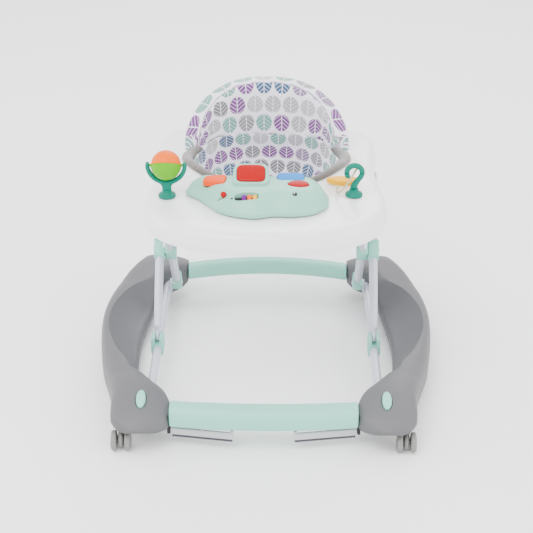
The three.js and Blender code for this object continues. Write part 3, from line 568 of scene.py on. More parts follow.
def cut(obj, *cutters):
    """Takes the cutters out of obj, and removes them."""
    for cutter in cutters:
        modifier = obj.modifiers.new("cut", "BOOLEAN")
        modifier.operation = "DIFFERENCE"
        modifier.solver = "EXACT"
        modifier.object = cutter
        bpy.context.view_layer.update()
        graph = bpy.context.evaluated_depsgraph_get()
        result = bpy.data.meshes.new_from_object(obj.evaluated_get(graph))
        obj.modifiers.clear()
        obj.data = result
        bpy.data.objects.remove(cutter)
    return smoothed(obj, 38)


def rod(name, axis, place, radius, length, sides=32, round_edge=0.0):
    """A bar along one axis, centred on place; round_edge softens its rims."""
    half = length / 2
    profile = [(0.0, -half), (radius - round_edge, -half)]
    if round_edge:
        profile += [(radius, -half + round_edge), (radius, half - round_edge)]
    profile += [(radius - round_edge if round_edge else radius, half), (0.0, half)]
    return lathe(name, axis, place, profile, sides)


def lathe(name, axis, place, profile, sides=48, angle=40):
    """Turns a list of (radius, distance along the axis) about an axis through place."""
    order = {"x": (2, 0, 1), "y": (1, 2, 0), "z": (0, 1, 2)}[axis]
    rings = []
    for radius, along_axis in profile:
        ring = []
        for k in range(sides):
            a = 2 * math.pi * k / sides
            raw = (radius * math.cos(a), radius * math.sin(a), along_axis)
            ring.append([place[i] + raw[order[i]] for i in range(3)])
        rings.append(ring)
    return loft(name, rings, caps=False, angle=angle)


def mirrored(obj, name):
    """A copy on the other side of the walker."""
    mesh = obj.data.copy()
    for vertex in mesh.vertices:
        vertex.co.x = -vertex.co.x
    mesh.flip_normals()
    twin = bpy.data.objects.new(name, mesh)
    scene.collection.objects.link(twin)
    return twin


def bevelled(obj, width=1.0, segments=2):
    modifier = obj.modifiers.new("soft edges", "BEVEL")
    modifier.width = width * MILLIMETRE
    modifier.segments = segments
    modifier.limit_method = "ANGLE"
    return obj


print("helpers ready")

# %% [markdown]
# ## Side shells
# Each shell is a rocker with a pod at either end. Its cross-section changes along the walker, so it is
# lofted from many sections; a scooped inner face meets the outer wall along a crease.

# %% Side shells
JOINT_X = 186
BAR_HALF = JOINT_X - 1.5
shell_inner = along([
    (-350, 200), (-305, 178), (-262, 192), (-222, 224), (-180, 256), (-100, 268), (20, 272), (140, 258),
    (190, 250), (225, 243), (245, 226), (262, 203), (275, 186), (310, 178), (348, 200),
])
shell_outer = along([
    (-360, 290), (-320, 300), (-262, 304), (-200, 318), (-110, 341), (40, 358), (150, 350), (240, 326),
    (300, 300), (345, 290),
])
shell_crease = along([
    (-190, 262), (-150, 286), (-100, 312), (-20, 336), (50, 340), (110, 327), (160, 302), (200, 262),
])
shell_top = along([
    (-366, 66), (-335, 80), (-300, 92), (-250, 103), (-180, 100), (0, 94), (180, 98), (260, 103),
    (310, 96), (350, 78),
])
SHELL = {"end": 358, "round": 32, "rocker": 3900, "low": 12, "pod": 43}
CASTOR = {"x": 280, "y": 330, "trail": 12, "wheel": 20}
BUTTON = {"x": 241, "y": -297, "z": 96, "wide": 19, "long": 42, "slope": 0.36}


def shell_section(y):
    """One cross-section of the right-hand shell."""
    inner, outer, top = shell_inner(y), shell_outer(y), shell_top(y)
    bottom = max(SHELL["low"] + y * y / SHELL["rocker"], SHELL["pod"] * smooth(225, 285, abs(y)))
    scoop = 1 - smooth(140, 205, abs(y - 5))
    crease = max(shell_crease(y), inner + 20)
    inner_top = mix(top - 22, 42, scoop)
    points = [(inner + 8, bottom), (inner + 2.5, bottom + 2.2), (inner, bottom + 7), (inner, inner_top - 5)]
    for i in range(1, 15):
        u = i / 14
        proud = math.sqrt(1 - (1 - u) ** 2)
        points.append((mix(inner, crease, u), mix(inner_top, top, mix(proud, u ** 1.7, scoop))))
    middle = bottom + 0.45 * (top - bottom)
    for i in range(1, 15):
        angle = i / 14 * math.pi / 2
        x = mix(crease, outer, math.sin(angle) ** 0.8)
        points.append((x, middle + (top - middle) * max(math.cos(angle), 0) ** 0.55))
    points += [(outer - 1, bottom + 16), (outer - 4, bottom + 9)]
    points += [(outer - 9, bottom + 3), (outer - 16, bottom)]
    past = max(abs(y) - (SHELL["end"] - SHELL["round"]), 0)
    keep = max(math.sqrt(max(1 - (past / SHELL["round"]) ** 2, 0)), 0.1)
    centre = (mix(inner, outer, 0.55), 60)
    return [(max(mix(centre[0], x, keep), JOINT_X), y, mix(centre[1], z, keep)) for x, z in points]


def ellipse_slab(name, wide, long, low, high, count=48, shrink=0.0):
    """An upright oval button shape about the button's centre, tilted with the pod's slope."""
    tilt = BUTTON["slope"]
    rings = []
    levels = [(low, 1.0), (high - shrink, 1.0)]
    if shrink:
        levels += [(high - 0.45 * shrink, 0.97), (high, 0.88)]
        levels += [(high + 0.25 * shrink, 0.6), (high + 0.3 * shrink, 0.2)]
    for h, share in levels:
        ring = []
        for k in range(count):
            a = 2 * math.pi * k / count
            x, y = wide / 2 * share * math.cos(a), long / 2 * share * math.sin(a)
            ring.append((
                BUTTON["x"] + x,
                BUTTON["y"] + y * math.cos(tilt) - h * math.sin(tilt),
                BUTTON["z"] + y * math.sin(tilt) + h * math.cos(tilt),
            ))
        rings.append(ring)
    return loft(name, rings)


def make_shell():
    end, rounding = SHELL["end"], SHELL["round"]
    nose = [rounding * math.sin(math.pi / 2 * i / 11) for i in range(12)]
    places = [-end + rounding - c for c in reversed(nose)]
    places += [mix(-end + rounding, end - rounding, i / 78) for i in range(1, 78)]
    places += [end - rounding + c for c in nose]
    shell = loft("shell skin right", [shell_section(y) for y in places], angle=38)
    cutters = [
        rod("stem hole", "z", (CASTOR["x"], side * (CASTOR["y"] - CASTOR["trail"]), 44), 7.2, 34, 28)
        for side in (-1, 1)
    ]
    cutters.append(ellipse_slab("button hole", BUTTON["wide"] + 3, BUTTON["long"] + 4, -12, 30))
    return cut(shell, *cutters)


def make_button():
    return ellipse_slab("button cap right", BUTTON["wide"] - 0.2, BUTTON["long"] - 0.2, -6.5, 1.6, shrink=2.2)


def pair(piece, body, slot, cad, material=None, sided_body=False):
    """Finishes a right-hand piece and its mirrored twin; cad is the CAD name without its side."""
    twin = mirrored(piece, piece.name.replace("right", "left"))
    for obj, side in ((piece, "right"), (twin, "left")):
        rides = f"{body}_{side}" if sided_body else body
        stands = [f"{node}_{side}" for node in ([cad] if isinstance(cad, str) else cad)] if cad else ()
        finish_piece(obj, rides, slot, material, stands)
    return piece, twin


shells = pair(make_shell(), "base", "grey_shell", "side_shell")
pair(make_button(), "button", "mint", "release_button", sided_body=True)
print("shell faces:", len(shells[0].data.polygons))

# %% [markdown]
# ## Crossbars, brake strips and rails
# Two moulded bars cover the steel tubes that join the shells. The front bar carries the brake strips.

# %% Crossbars, strips and rails
BARS = {
    "front": {"y": -306, "bow": -10, "deep": 46, "swell": 5, "bottom": 46, "top": 90},
    "rear": {"y": 287, "bow": 30, "deep": 34, "swell": 2, "bottom": 50, "top": 86},
}


def make_crossbar(end, bar):
    rings = []
    places = [-1, -0.996, -0.985] + [mix(-0.97, 0.97, i / 40) for i in range(41)] + [0.985, 0.996, 1]
    for u in places:
        arch = 1 - u * u
        lip = {1: 2.2, 0.996: 0.9, 0.985: 0.2}.get(round(abs(u), 3), 0)
        half = (bar["deep"] + bar["swell"] * arch) / 2 - lip
        middle = mix(bar["bottom"], bar["top"], 0.42)
        ring = []
        for k in range(48):
            a = 2 * math.pi * k / 48
            upper = math.sin(a) > 0
            tall = (bar["top"] - middle if upper else middle - bar["bottom"]) - lip
            z = middle + power(math.sin(a), 0.8 if upper else 0.45) * tall
            ring.append((u * BAR_HALF, bar["y"] + bar["bow"] * arch + power(math.cos(a), 0.6) * half, z))
        rings.append(ring)
    bar_piece = loft(f"{end} crossbar cover", rings, angle=50)
    return finish_piece(bar_piece, "base", "mint", None, f"{end}_crossbar")


for end, bar in BARS.items():
    make_crossbar(end, bar)
for name in ("front_cross_tube", "rear_cross_tube"):
    finish = nodes[name]
    finish.data.materials.clear()
    finish.data.materials.append(DARK)

STRIP = {"near": 58, "far": 183, "near_y": -337, "far_y": -318, "top": 41, "bottom": 27, "thick": 3}


def strip_slab(name, y0, y1, bottom, top, start, stop, pieces=1):
    """A slab along the brake strip's line, between two distances behind its face."""
    def face(x):
        return mix(STRIP["near_y"], STRIP["far_y"], (x - STRIP["near"]) / (STRIP["far"] - STRIP["near"]))

    rings = []
    for i in range(pieces + 1):
        x = mix(start, stop, i / pieces)
        f = face(x)
        rings.append([(x, f + y0, bottom), (x, f + y1, bottom), (x, f + y1, top), (x, f + y0, top)])
    return loft(name, rings)


def joined(name, parts):
    """Several meshes as one object."""
    bpy.ops.object.select_all(action="DESELECT")
    for part in parts:
        part.select_set(True)
    bpy.context.view_layer.objects.active = parts[0]
    bpy.ops.object.join()
    parts[0].name = name
    bpy.ops.object.select_all(action="DESELECT")
    return parts[0]


def make_strip():
    near, far, thick = STRIP["near"], STRIP["far"], STRIP["thick"]
    parts = [
        strip_slab("strip face", 0, thick, STRIP["bottom"], STRIP["top"], near, far),
        strip_slab("strip shelf", 0.4, 16, STRIP["bottom"], STRIP["bottom"] + 3, near + 0.4, far - 0.4),
        strip_slab("strip lip", 0.6, 5.5, STRIP["top"] - 2, STRIP["top"] + 0.4, near + 0.6, far - 0.6),
    ]
    for x in (near + 4, (near + far) / 2, far - 4):
        parts.append(strip_slab("strip hanger", 2, 15, STRIP["bottom"] + 1, 45.5, x - 3, x + 3))
    return bevelled(joined("brake strip plate right", parts), 0.6)


strips = pair(make_strip(), "base", "strip", "brake_strip")
for obj in strips:
    if not obj.modifiers:
        bevelled(obj, 0.6)
rubber_parts = [strip_slab("grip", 1.5, 14, 21.5, 26.7, 61, 180)]
rubber_parts += [strip_slab("rib", 0.9, 14.4, 21.2, 22.6, x, x + 2.6) for x in range(63, 178, 6)]
pair(joined("brake strip grip right", rubber_parts), "base", "grip_rubber", "strip_rubber")
end_block = strip_slab("strip end block right", -1, 14, 28, 47, 183.6, 190)
pair(bevelled(end_block, 1.0), "base", "black", None, DARK)
print("bars, strips and grips made")

# %% [markdown]
# ## Castors
# A domed stem carries a wheel on either side. The wheels are turned profiles with a hub cap.

# %% Castors


def make_wheels(end_sign):
    axle_y = end_sign * CASTOR["y"]
    half = 5.5
    tread = [
        (0, half + 0.2), (3.4, half + 0.2), (4.2, half - 0.5), (9, half - 0.7),
        (12.6, half - 0.4), (13.4, half),
        (16.2, half + 0.0), (18.6, half - 0.7), (19.6, half - 1.8), (20, half - 3.2), (20, 0.8), (19.6, 0.3),
        (19.6, -0.3), (20, -0.8), (20, -half + 3.2), (19.6, -half + 1.8), (18.4, -half + 0.6), (16, -half),
        (6, -half), (5.4, -half + 0.3), (0, -half + 0.3),
    ]
    parts = []
    for side in (1, -1):
        place = (CASTOR["x"] + side * 13.5, axle_y, CASTOR["wheel"])
        parts.append(lathe("wheel", "x", place, [(r, side * w) for r, w in tread], 56, 35))
    parts.append(rod("axle", "x", (CASTOR["x"], axle_y, CASTOR["wheel"]), 3, 24, 24))
    return joined("wheels right", parts)


def make_fork(end_sign):
    stem_y = end_sign * (CASTOR["y"] - CASTOR["trail"])
    middle = mix(stem_y, end_sign * CASTOR["y"], 0.6)
    rings = []
    for i in range(25):
        t = math.pi * i / 24
        r, z = math.sin(t), math.cos(t)
        ring = []
        for k in range(40):
            a = 2 * math.pi * k / 40
            ring.append((
                CASTOR["x"] + 17 * 0.42 * r * power(math.cos(a), 0.8),
                middle + 17 * r * math.sin(a),
                CASTOR["wheel"] - 0.5 + 17 * 0.95 * z,
            ))
        rings.append(ring)
    dome = loft("dome", rings, caps=False)
    stem = rod("stem", "z", (CASTOR["x"], stem_y, 42), 6.2, 30, 28, 0.6)
    collar = rod("collar", "z", (CASTOR["x"], stem_y, 38.5), 7.0, 5, 28, 0.6)
    return joined("castor stem right", [dome, stem, collar])


for end, sign in (("front", -1), ("rear", 1)):
    wheels = make_wheels(sign)
    wheels.name = f"{end} wheels right"
    pair(wheels, f"wheels_{end}", "castor_grey", f"{end}_wheel_set", sided_body=True)
    fork = make_fork(sign)
    fork.name = f"{end} castor stem right"
    pair(fork, f"castor_{end}", "castor_grey", f"{end}_castor_fork", sided_body=True)
print("castors made")

# %% [markdown]
# ## Scissor legs
# Two oval steel tubes cross on each side. Their ends are pressed flat to take a pin, and moulded
# blocks hold the crossing. The legs are drawn straight up, then tilted into place.

# %% Scissor legs
LEG_HALF = 195
LEG_ANGLE = math.radians(50.3)
PIVOT_Z = 76
REAR_Y = 216
OUTER_X, INNER_X = 231, 207
CROSS = (REAR_Y - LEG_HALF * math.cos(LEG_ANGLE), PIVOT_Z + LEG_HALF * math.sin(LEG_ANGLE))
FOOT_Y = REAR_Y - 2 * LEG_HALF * math.cos(LEG_ANGLE)
RAIL_Z = 54


def oval_ring(wide, tall, at, sides=36):
    ring = []
    for k in range(sides):
        a = 2 * math.pi * k / sides
        ring.append((power(math.cos(a), 0.85) * wide / 2, at, power(math.sin(a), 0.85) * tall / 2))
    return ring


def tilted(obj, angle, x, y, z):
    """Turns a piece, drawn about the origin, about the X direction and moves it into place."""
    c, s = math.cos(angle), math.sin(angle)
    for vertex in obj.data.vertices:
        px, py, pz = vertex.co
        vertex.co = (px + x * MILLIMETRE, py * c - pz * s + y * MILLIMETRE, py * s + pz * c + z * MILLIMETRE)
    obj.data.update()
    return obj


def leg_tube(name, flat_ends):
    """An oval tube that narrows to a flat tab at each end listed in flat_ends."""
    stations = []
    for end in (-1, 1):
        if end in flat_ends:
            stations += [
                (end * 201.3, 7.5, 3.0), (end * 200.3, 9, 8.0), (end * 198, 9, 11.6), (end * 193, 9, 13),
                (end * 180, 9, 14), (end * 177, 9.4, 17), (end * 174.5, 13.5, 22.5), (end * 171.5, 17, 25.4),
                (end * 168, 18, 26),
            ]
        else:
            stations += [(end * 198.9, 17, 25), (end * 198, 18, 26)]
    stations += [(y, 18, 26) for y in (-120, -60, 0, 60, 120)]
    stations.sort()
    return loft(name, [oval_ring(wide, tall, y) for y, wide, tall in stations])


def rivet(name, x, y, z, radius=7.0, height=3.0):
    """A domed rivet head facing out along +X."""
    out = math.copysign(1, height)
    dome = [(0, height), (radius * 0.45, height * 0.92), (radius * 0.8, height * 0.6), (radius, 0.3 * out)]
    profile = dome + [(radius, -out), (0, -out)]
    return lathe(name, "x", (x, y, z), profile, 28)


def make_front_leg():
    tube = leg_tube("front leg tube right", (-1, 1))
    tube = cut(tube, *[rod("eye", "x", (0, end * LEG_HALF, 0), 4.4, 40, 28) for end in (-1, 1)])
    return tilted(tube, LEG_ANGLE, OUTER_X, *CROSS)


def make_rear_leg():
    tube = leg_tube("rear leg tube right", (-1,))
    tube = cut(tube, rod("eye", "x", (0, LEG_HALF, 0), 4.6, 40, 28))
    pin = rod("pin", "x", (-6, -LEG_HALF, 0), 4, 18, 24)
    return tilted(joined("rear leg tube right", [tube, pin]), -LEG_ANGLE, INNER_X, *CROSS)


def rounded_box(name, wide, long, tall, corner):
    """A block with rounded corners seen from the side, drawn about the origin along Y."""
    rings = []
    levels = [
        (-wide / 2, 1.6), (-wide / 2 + 0.5, 0.6), (-wide / 2 + 1.6, 0),
        (wide / 2 - 1.6, 0), (wide / 2 - 0.5, 0.6), (wide / 2, 1.6),
    ]
    for x, inset in levels:
        ring = []
        for k in range(48):
            a = 2 * math.pi * k / 48
            y = power(math.cos(a), corner) * (long / 2 - inset)
            ring.append((x, y, power(math.sin(a), corner) * (tall / 2 - inset)))
        rings.append(ring)
    return loft(name, rings, angle=50)


def make_block(outer):
    """The crossing block: a sleeve round the tube, with a boss where the two turn."""
    x = OUTER_X if outer else INNER_X
    angle = LEG_ANGLE if outer else -LEG_ANGLE
    body = rounded_box("block", 23, 46, 33, 0.55)
    bands = [rounded_box("band", 23.6, 5, 34, 0.5) for _ in range(2)]
    for band, at in zip(bands, (-17, 17)):
        for vertex in band.data.vertices:
            vertex.co.y += at * MILLIMETRE
    parts = [body, *bands]
    name = f"{'outer' if outer else 'inner'} crossing block right"
    if outer:
        parts.append(rivet("pin head", 11.5, 0, 0, 7.5, 2.4))
    return tilted(joined(name, parts), angle, x, *CROSS)


def make_foot():
    """The moulded cap on the rear leg's foot, rounded about its pin."""
    rings = []
    for x, inset in ((-10.5, 1.8), (-9.9, 0.6), (-8.7, 0), (8.7, 0), (9.9, 0.6), (10.5, 1.8)):
        ring = [(x, LEG_HALF - 28 + inset, -16 + inset), (x, LEG_HALF - 10, -16 + inset)]
        for k in range(25):
            a = -math.pi / 2 + math.pi * k / 24
            ring.append((x, LEG_HALF + math.cos(a) * (16 - inset), math.sin(a) * (16 - inset)))
        ring += [(x, LEG_HALF - 10, 16 - inset), (x, LEG_HALF - 28 + inset, 16 - inset)]
        rings.append(ring)
    foot = loft("rear foot cap right", rings, angle=50)
    foot = cut(foot, rod("pin hole", "x", (0, LEG_HALF, 0), 4.3, 40, 28))
    return tilted(foot, -LEG_ANGLE, INNER_X, *CROSS)


def make_slider():
    """The sleeve on the base rail with a fork for the front leg's foot."""
    top = PIVOT_Z + 9
    rings = []
    for y, inset in ((-17, 1.6), (-16.4, 0.5), (-15.3, 0), (15.3, 0), (16.4, 0.5), (17, 1.6)):
        ring = []
        for k in range(48):
            a = 2 * math.pi * k / 48
            z = mix(39.5, top, 0.5) + power(math.sin(a), 0.45) * ((top - 39.5) / 2 - inset)
            ring.append((OUTER_X + power(math.cos(a), 0.45) * (13.5 - inset), FOOT_Y + y, z))
        rings.append(ring)
    sleeve = loft("height slider body right", rings, angle=50)
    fork = loft("fork gap", [
        [(OUTER_X + x, FOOT_Y + y, z) for x, z in ((-5, 68.2), (5, 68.2), (5, 99), (-5, 99))]
        for y in (-30, 30)
    ])
    tunnel = loft("rail tunnel", [
        [(OUTER_X + px, FOOT_Y + y, RAIL_Z + pz) for px, _, pz in oval_ring(18.6, 22.6, 0)] for y in (-40, 40)
    ])
    sleeve = cut(sleeve, fork, tunnel)
    parts = [sleeve, rod("foot pin", "x", (OUTER_X, FOOT_Y, PIVOT_Z), 4, 26.2, 24, 0.5)]
    return joined("height slider body right", parts)


def make_rail():
    """The base rail with the lug and pin of the rear foot."""
    rail = loft("rail", [
        [(OUTER_X + px, y, RAIL_Z + pz) for px, _, pz in oval_ring(18, 22, 0)]
        for y in (-258, -100, 0, 100, 258)
    ])
    plate = loft("lug", [
        [(x, 207, 54), (x, 225, 54), (x, 225, 76), *[
            (x, REAR_Y + 9 * math.cos(math.pi * k / 12), PIVOT_Z + 9 * math.sin(math.pi * k / 12))
            for k in range(1, 12)
        ], (x, 207, 76)]
        for x in (218.5, 222.5)
    ])
    pin = rod("foot pin", "x", (211.5, REAR_Y, PIVOT_Z), 4, 20, 24, 0.5)
    return joined("base rail tube right", [rail, plate, pin])


pair(make_front_leg(), "front_legs", "tube", "front_leg")
pair(make_rear_leg(), "rear_legs", "tube", "rear_leg")
pair(make_block(True), "front_legs", "mint", "outer_cross_block")
pair(make_block(False), "rear_legs", "mint", "inner_cross_block")
pair(make_foot(), "rear_legs", "mint", "rear_foot")
pair(make_slider(), "height_sliders", "mint", "height_slider")
pair(make_rail(), "base", "tube", "base_rail")
head = tilted(rivet("foot rivet right", -10.5, LEG_HALF, 0, 6.5, -2.2), -LEG_ANGLE, INNER_X, *CROSS)
pair(head, "base", "tube", None)
print("legs made")

# %% [markdown]
# ## Tray
# A thin white moulding with a rolled rim. Round the seat opening it rises into a collar that is high
# at the sides and low at the front, where the toys are.

# %% Tray
TRAY = {"bottom": 386, "top": 428, "wall": 3}
OPENING = {"y": 92, "half_x": 163, "half_y": 134}
TRAY_EDGE = [
    (0, -250), (112, -236), (192, -196), (232, -142), (243, -85), (235, 0), (227, 86), (236, 200), (230, 252),
    (204, 286), (150, 297), (0, 298), (-150, 297), (-204, 286), (-230, 252), (-236, 200), (-227, 86),
    (-235, 0), (-243, -85), (-232, -142), (-192, -196), (-112, -236),
]
TRAY_AROUND = 176
tray_edge = curve_points(TRAY_EDGE, TRAY_AROUND, closed=True)


def collar_rise(angle):
    """The collar is highest beside the child's thighs, a little ahead of the opening's middle."""
    turn = math.atan2(math.sin(angle), abs(math.cos(angle)))
    return 2 + 16 * max(math.cos(turn + 0.45), 0) ** 6


def tray_profile(edge, inset, lower):
    """The tray's section from its outer edge over the rim to the opening; inset makes the inner skin."""
    angle = math.atan2((edge[1] - OPENING["y"]) / OPENING["half_y"], edge[0] / OPENING["half_x"])
    hole = (OPENING["half_x"] * math.cos(angle), OPENING["y"] + OPENING["half_y"] * math.sin(angle))
    span = math.dist(edge, hole)
    rise, top = collar_rise(angle), TRAY["top"] - lower

    def at(distance, z):
        t = distance / span
        return (mix(edge[0], hole[0], t), mix(edge[1], hole[1], t), z)

    controls = [
        at(inset + 2.2, TRAY["bottom"]), at(inset + 0.4, TRAY["bottom"] + 6), at(inset, TRAY["bottom"] + 14),
        at(inset + 1, top - 20), at(inset + 3, top - 13), at(inset + 6, top - 7.6), at(inset + 10, top - 4),
        at(inset + 17, top - 1.2), at(inset + 26, top), at(mix(inset + 26, span - 28, 0.5), top + 1),
        at(span - 28, top + 2), at(span - 16 - inset * 0.5, top + 2 + rise * 0.6),
        at(span - 8 - inset * 0.7, top + rise), at(span - inset - 1, top + rise - 4),
        at(span - inset, TRAY["bottom"] + 12),
    ]
    return curve_points(controls, 34)


def make_tray():
    rings = []
    for edge in tray_edge:
        outside = tray_profile(edge, 0, 0)
        inside = tray_profile(edge, TRAY["wall"], TRAY["wall"])
        rings.append([*outside, *inside[::-1]])
    return loft("tray moulding", rings, closed=True, angle=50)


tray = finish_piece(make_tray(), "tray", "tray_white", None, "tray_top")
print("tray faces:", len(tray.data.polygons))

# %% [markdown]
# ## Play panel
# The panel is an animal-shaped housing. Keys, a slider and a row of beads sit in pockets cut into it.

# %% Play panel
PANEL = {"x": -18, "y": -112}
PANEL_EDGE = [
    (-158, -70), (-134, -94), (-112, -124), (-90, -154), (-58, -174), (-18, -182), (18, -172), (56, -173),
    (97, -160), (121, -128), (124, -92), (110, -62), (76, -53), (20, -56), (-30, -52), (-80, -54),
    (-118, -56), (-148, -52),
]
PANEL_LEVELS = [
    (432.5, 1, 1, 0), (438, 1.003, 1.003, 0), (440, 0.996, 0.994, 0.3),
    (441.5, 0.978, 0.955, 1.3), (445, 0.965, 0.925, 2.6),
    (451, 0.94, 0.88, 5), (456, 0.912, 0.83, 7.6), (460, 0.88, 0.78, 10), (464, 0.84, 0.72, 12.6),
    (467, 0.8, 0.66, 15), (469, 0.745, 0.58, 17), (470.2, 0.66, 0.47, 18.6),
    (470.8, 0.5, 0.3, 20), (471, 0.2, 0.1, 21),
]
KEYS = {
    "orange": (-99, -86, 44, 34, 474),
    "screen": (-28, -86, 56, 40, 488),
    "blue": (50, -74, 54, 24, 473),
    "oval": (65, -104, 42, 25, 472),
}
BEADS = {"y": -147, "z": 458, "start": -59, "end": -11, "radius": 8, "rod": 2, "wide": 9.5}
SLOT = {"start": -95, "end": -76, "y": -139, "floor": 449}
EYE = (58, -138, 461)
KEY_SLOPE = {"orange": 0.12, "screen": 0.42, "blue": 0.34, "oval": 0.2}
KEY_DEPTH = 12


def key_rings(key, levels, grow=0.0, count=64):
    """Levels are (height above the key's foot, share of its outline); tops slope down to the front."""
    slope = KEY_SLOPE[key]
    x, y, wide, deep, top = KEYS[key]
    squareness = 1.0 if key == "oval" else 0.42
    rings = []
    for rise, share in levels:
        ring = []
        for k in range(count):
            a = 2 * math.pi * k / count
            px = power(math.cos(a), squareness) * (wide / 2 + grow) * share
            py = power(math.sin(a), squareness) * (deep / 2 + grow) * share
            if key == "orange":
                px, py = px + 0.12 * py, py * mix(0.62, 1.0, 0.5 + px / wide)
            lean = slope * py * smooth(0, KEY_DEPTH - 3, rise)
            ring.append((x + px, y + py, top - KEY_DEPTH + rise + lean))
        rings.append(ring)
    return rings


def make_key(key, name):
    h = KEY_DEPTH
    levels = [
        (0, 1), (h - 3.2, 1), (h - 1.8, 0.985), (h - 0.9, 0.95),
        (h - 0.3, 0.86), (h, 0.7), (h + 0.4, 0.45), (h + 0.6, 0.15),
    ]
    return loft(name, key_rings(key, levels), angle=50)


def make_panel():
    outline = curve_points(PANEL_EDGE, 144, closed=True)
    rings = [
        [
            (PANEL["x"] + (x - PANEL["x"]) * sx, PANEL["y"] + (y - PANEL["y"]) * sy + shift, z)
            for x, y in outline
        ]
        for z, sx, sy, shift in PANEL_LEVELS
    ]
    panel = loft("panel moulding", rings, angle=50)
    frame_rise = KEYS["screen"][4] - 4 - (460 - 0)
    base = KEYS["screen"][4] - KEY_DEPTH
    lift = 460 - base
    levels = [
        (lift, 1.02), (lift + 12, 1.0), (lift + frame_rise - 4, 0.985),
        (lift + frame_rise - 1.4, 0.965), (lift + frame_rise - 0.2, 0.93), (lift + frame_rise, 0.9),
    ]
    hood = loft("screen hood", key_rings("screen", levels, 8), angle=50)
    union(panel, hood)
    cutters = [
        loft(f"{key} pocket", key_rings(key, [(-4.2, 1), (40, 1)], 0.7)) for key in KEYS
    ]
    x = (BEADS["start"] + BEADS["end"]) / 2
    window = loft("bead window", [
        [
            (
                x + power(math.cos(a), 0.6) * (BEADS["end"] - BEADS["start"]) / 2 * share,
                BEADS["y"] + power(math.sin(a), 0.6) * 8.7 * share,
                z,
            )
            for a in (2 * math.pi * k / 48 for k in range(48))
        ]
        for z, share in ((448, 0.985), (490, 1.0))
    ])
    slot = loft("knob slot", [
        [
            (
                (SLOT["start"] + SLOT["end"]) / 2 + power(math.cos(a), 0.5) * 9.5,
                SLOT["y"] + power(math.sin(a), 0.7) * 2.5,
                z,
            )
            for a in (2 * math.pi * k / 32 for k in range(32))
        ]
        for z in (449, 490)
    ])
    place = [c * MILLIMETRE for c in EYE]
    bpy.ops.mesh.primitive_uv_sphere_add(radius=0.0053, location=place, segments=24, ring_count=16)
    return cut(panel, *cutters, window, slot, baked(bpy.context.object))


def baked(obj):
    """Puts an object's place into its vertices."""
    bpy.context.view_layer.update()
    obj.data.transform(obj.matrix_world)
    obj.matrix_world.identity()
    return obj


def union(obj, extra):
    modifier = obj.modifiers.new("join", "BOOLEAN")
    modifier.operation = "UNION"
    modifier.solver = "EXACT"
    modifier.object = extra
    bpy.context.view_layer.update()
    result = bpy.data.meshes.new_from_object(obj.evaluated_get(bpy.context.evaluated_depsgraph_get()))
    obj.modifiers.clear()
    obj.data = result
    bpy.data.objects.remove(extra)


panel = finish_piece(make_panel(), "tray", "mint", PANEL_MINT, "panel_housing")
for key, cad, slot in (
    ("orange", "orange_key", "key_orange"), ("screen", "screen_key", "red"),
    ("blue", "blue_key", "blue"), ("oval", "oval_button", "red"),
):
    finish_piece(make_key(key, f"{key} key cap"), f"{cad}_body", slot, None, cad)


def sphere(name, place, radius, segments=40, rings=24):
    turns = [math.pi * i / rings for i in range(rings + 1)]
    profile = [(radius * math.sin(turn), -radius * math.cos(turn)) for turn in turns]
    return lathe(name, "z", place, profile, segments)


finish_piece(sphere("eye bead", (EYE[0], EYE[1], EYE[2] + 2.2), 5.4), "tray", "black", None, "panel_eye")
# The small white bead above the eye is a painted highlight: it stands in for the lamps' glint on the black
# eye bead.
painted_highlight = sphere("eye painted highlight", (EYE[0] - 1.2, EYE[1] - 2.0, EYE[2] + 6.6), 1.3, 16, 10)
finish_piece(painted_highlight, "tray", "tray_white")
knob = sphere("knob ball", (SLOT["end"] - 4, SLOT["y"], SLOT["floor"] + 14.5), 6)
stem = rod("knob stem", "z", (SLOT["end"] - 4, SLOT["y"], SLOT["floor"] + 7), 2, 12, 20)
finish_piece(joined("knob ball", [knob, stem]), "slider_knob_body", "red", None, "slider_knob")
bead_middle = (BEADS["start"] + BEADS["end"]) / 2
length = BEADS["end"] - BEADS["start"] + 14
rod_piece = rod("bead wire", "x", (bead_middle, BEADS["y"], BEADS["z"]), BEADS["rod"], length, 24)
finish_piece(rod_piece, "tray", "tube", DARK, "bead_rod")
for i, (colour, slot) in enumerate((("purple", "bead_purple"), ("orange", "orange"), ("yellow", "yellow"))):
    half = BEADS["wide"] / 2 - 0.3
    outer = [
        (BEADS["radius"] * (1 - 0.42 * abs(math.sin(t)) ** 3.2), half * math.sin(t))
        for t in np.linspace(-math.pi / 2, math.pi / 2, 15)
    ]
    profile = [(2.4, -half), *outer, (2.4, half), (2.4, -half)]
    place = (-40 + i * (BEADS["wide"] + 1), BEADS["y"], BEADS["z"])
    bead = lathe(f"{colour} bead", "x", place, profile, 40, 50)
    finish_piece(bead, f"bead_{colour}_body", slot, None, f"bead_{colour}")
print("panel faces:", len(panel.data.polygons))

# %% [markdown]
# ## Toys
# On one side a two-coloured ball turns in a forked stand; on the other a hook holds a strap with a teether.

# %% Toys
SPINNER = {"x": -195, "y": -76, "z": 497, "ball": 30, "inner": 32.5, "outer": 41, "deep": 12, "turned": 0.56}
TRAY_FACE = 430.8


def foot_disc(name, x, y):
    profile = [
        (0, 0), (17.4, 0), (17.5, 2.6), (16.6, 4.2), (13.5, 5.4), (11, 7.2), (9.4, 10), (8.8, 14), (0, 14),
    ]
    return lathe(name, "z", (x, y, TRAY_FACE), profile, 56)


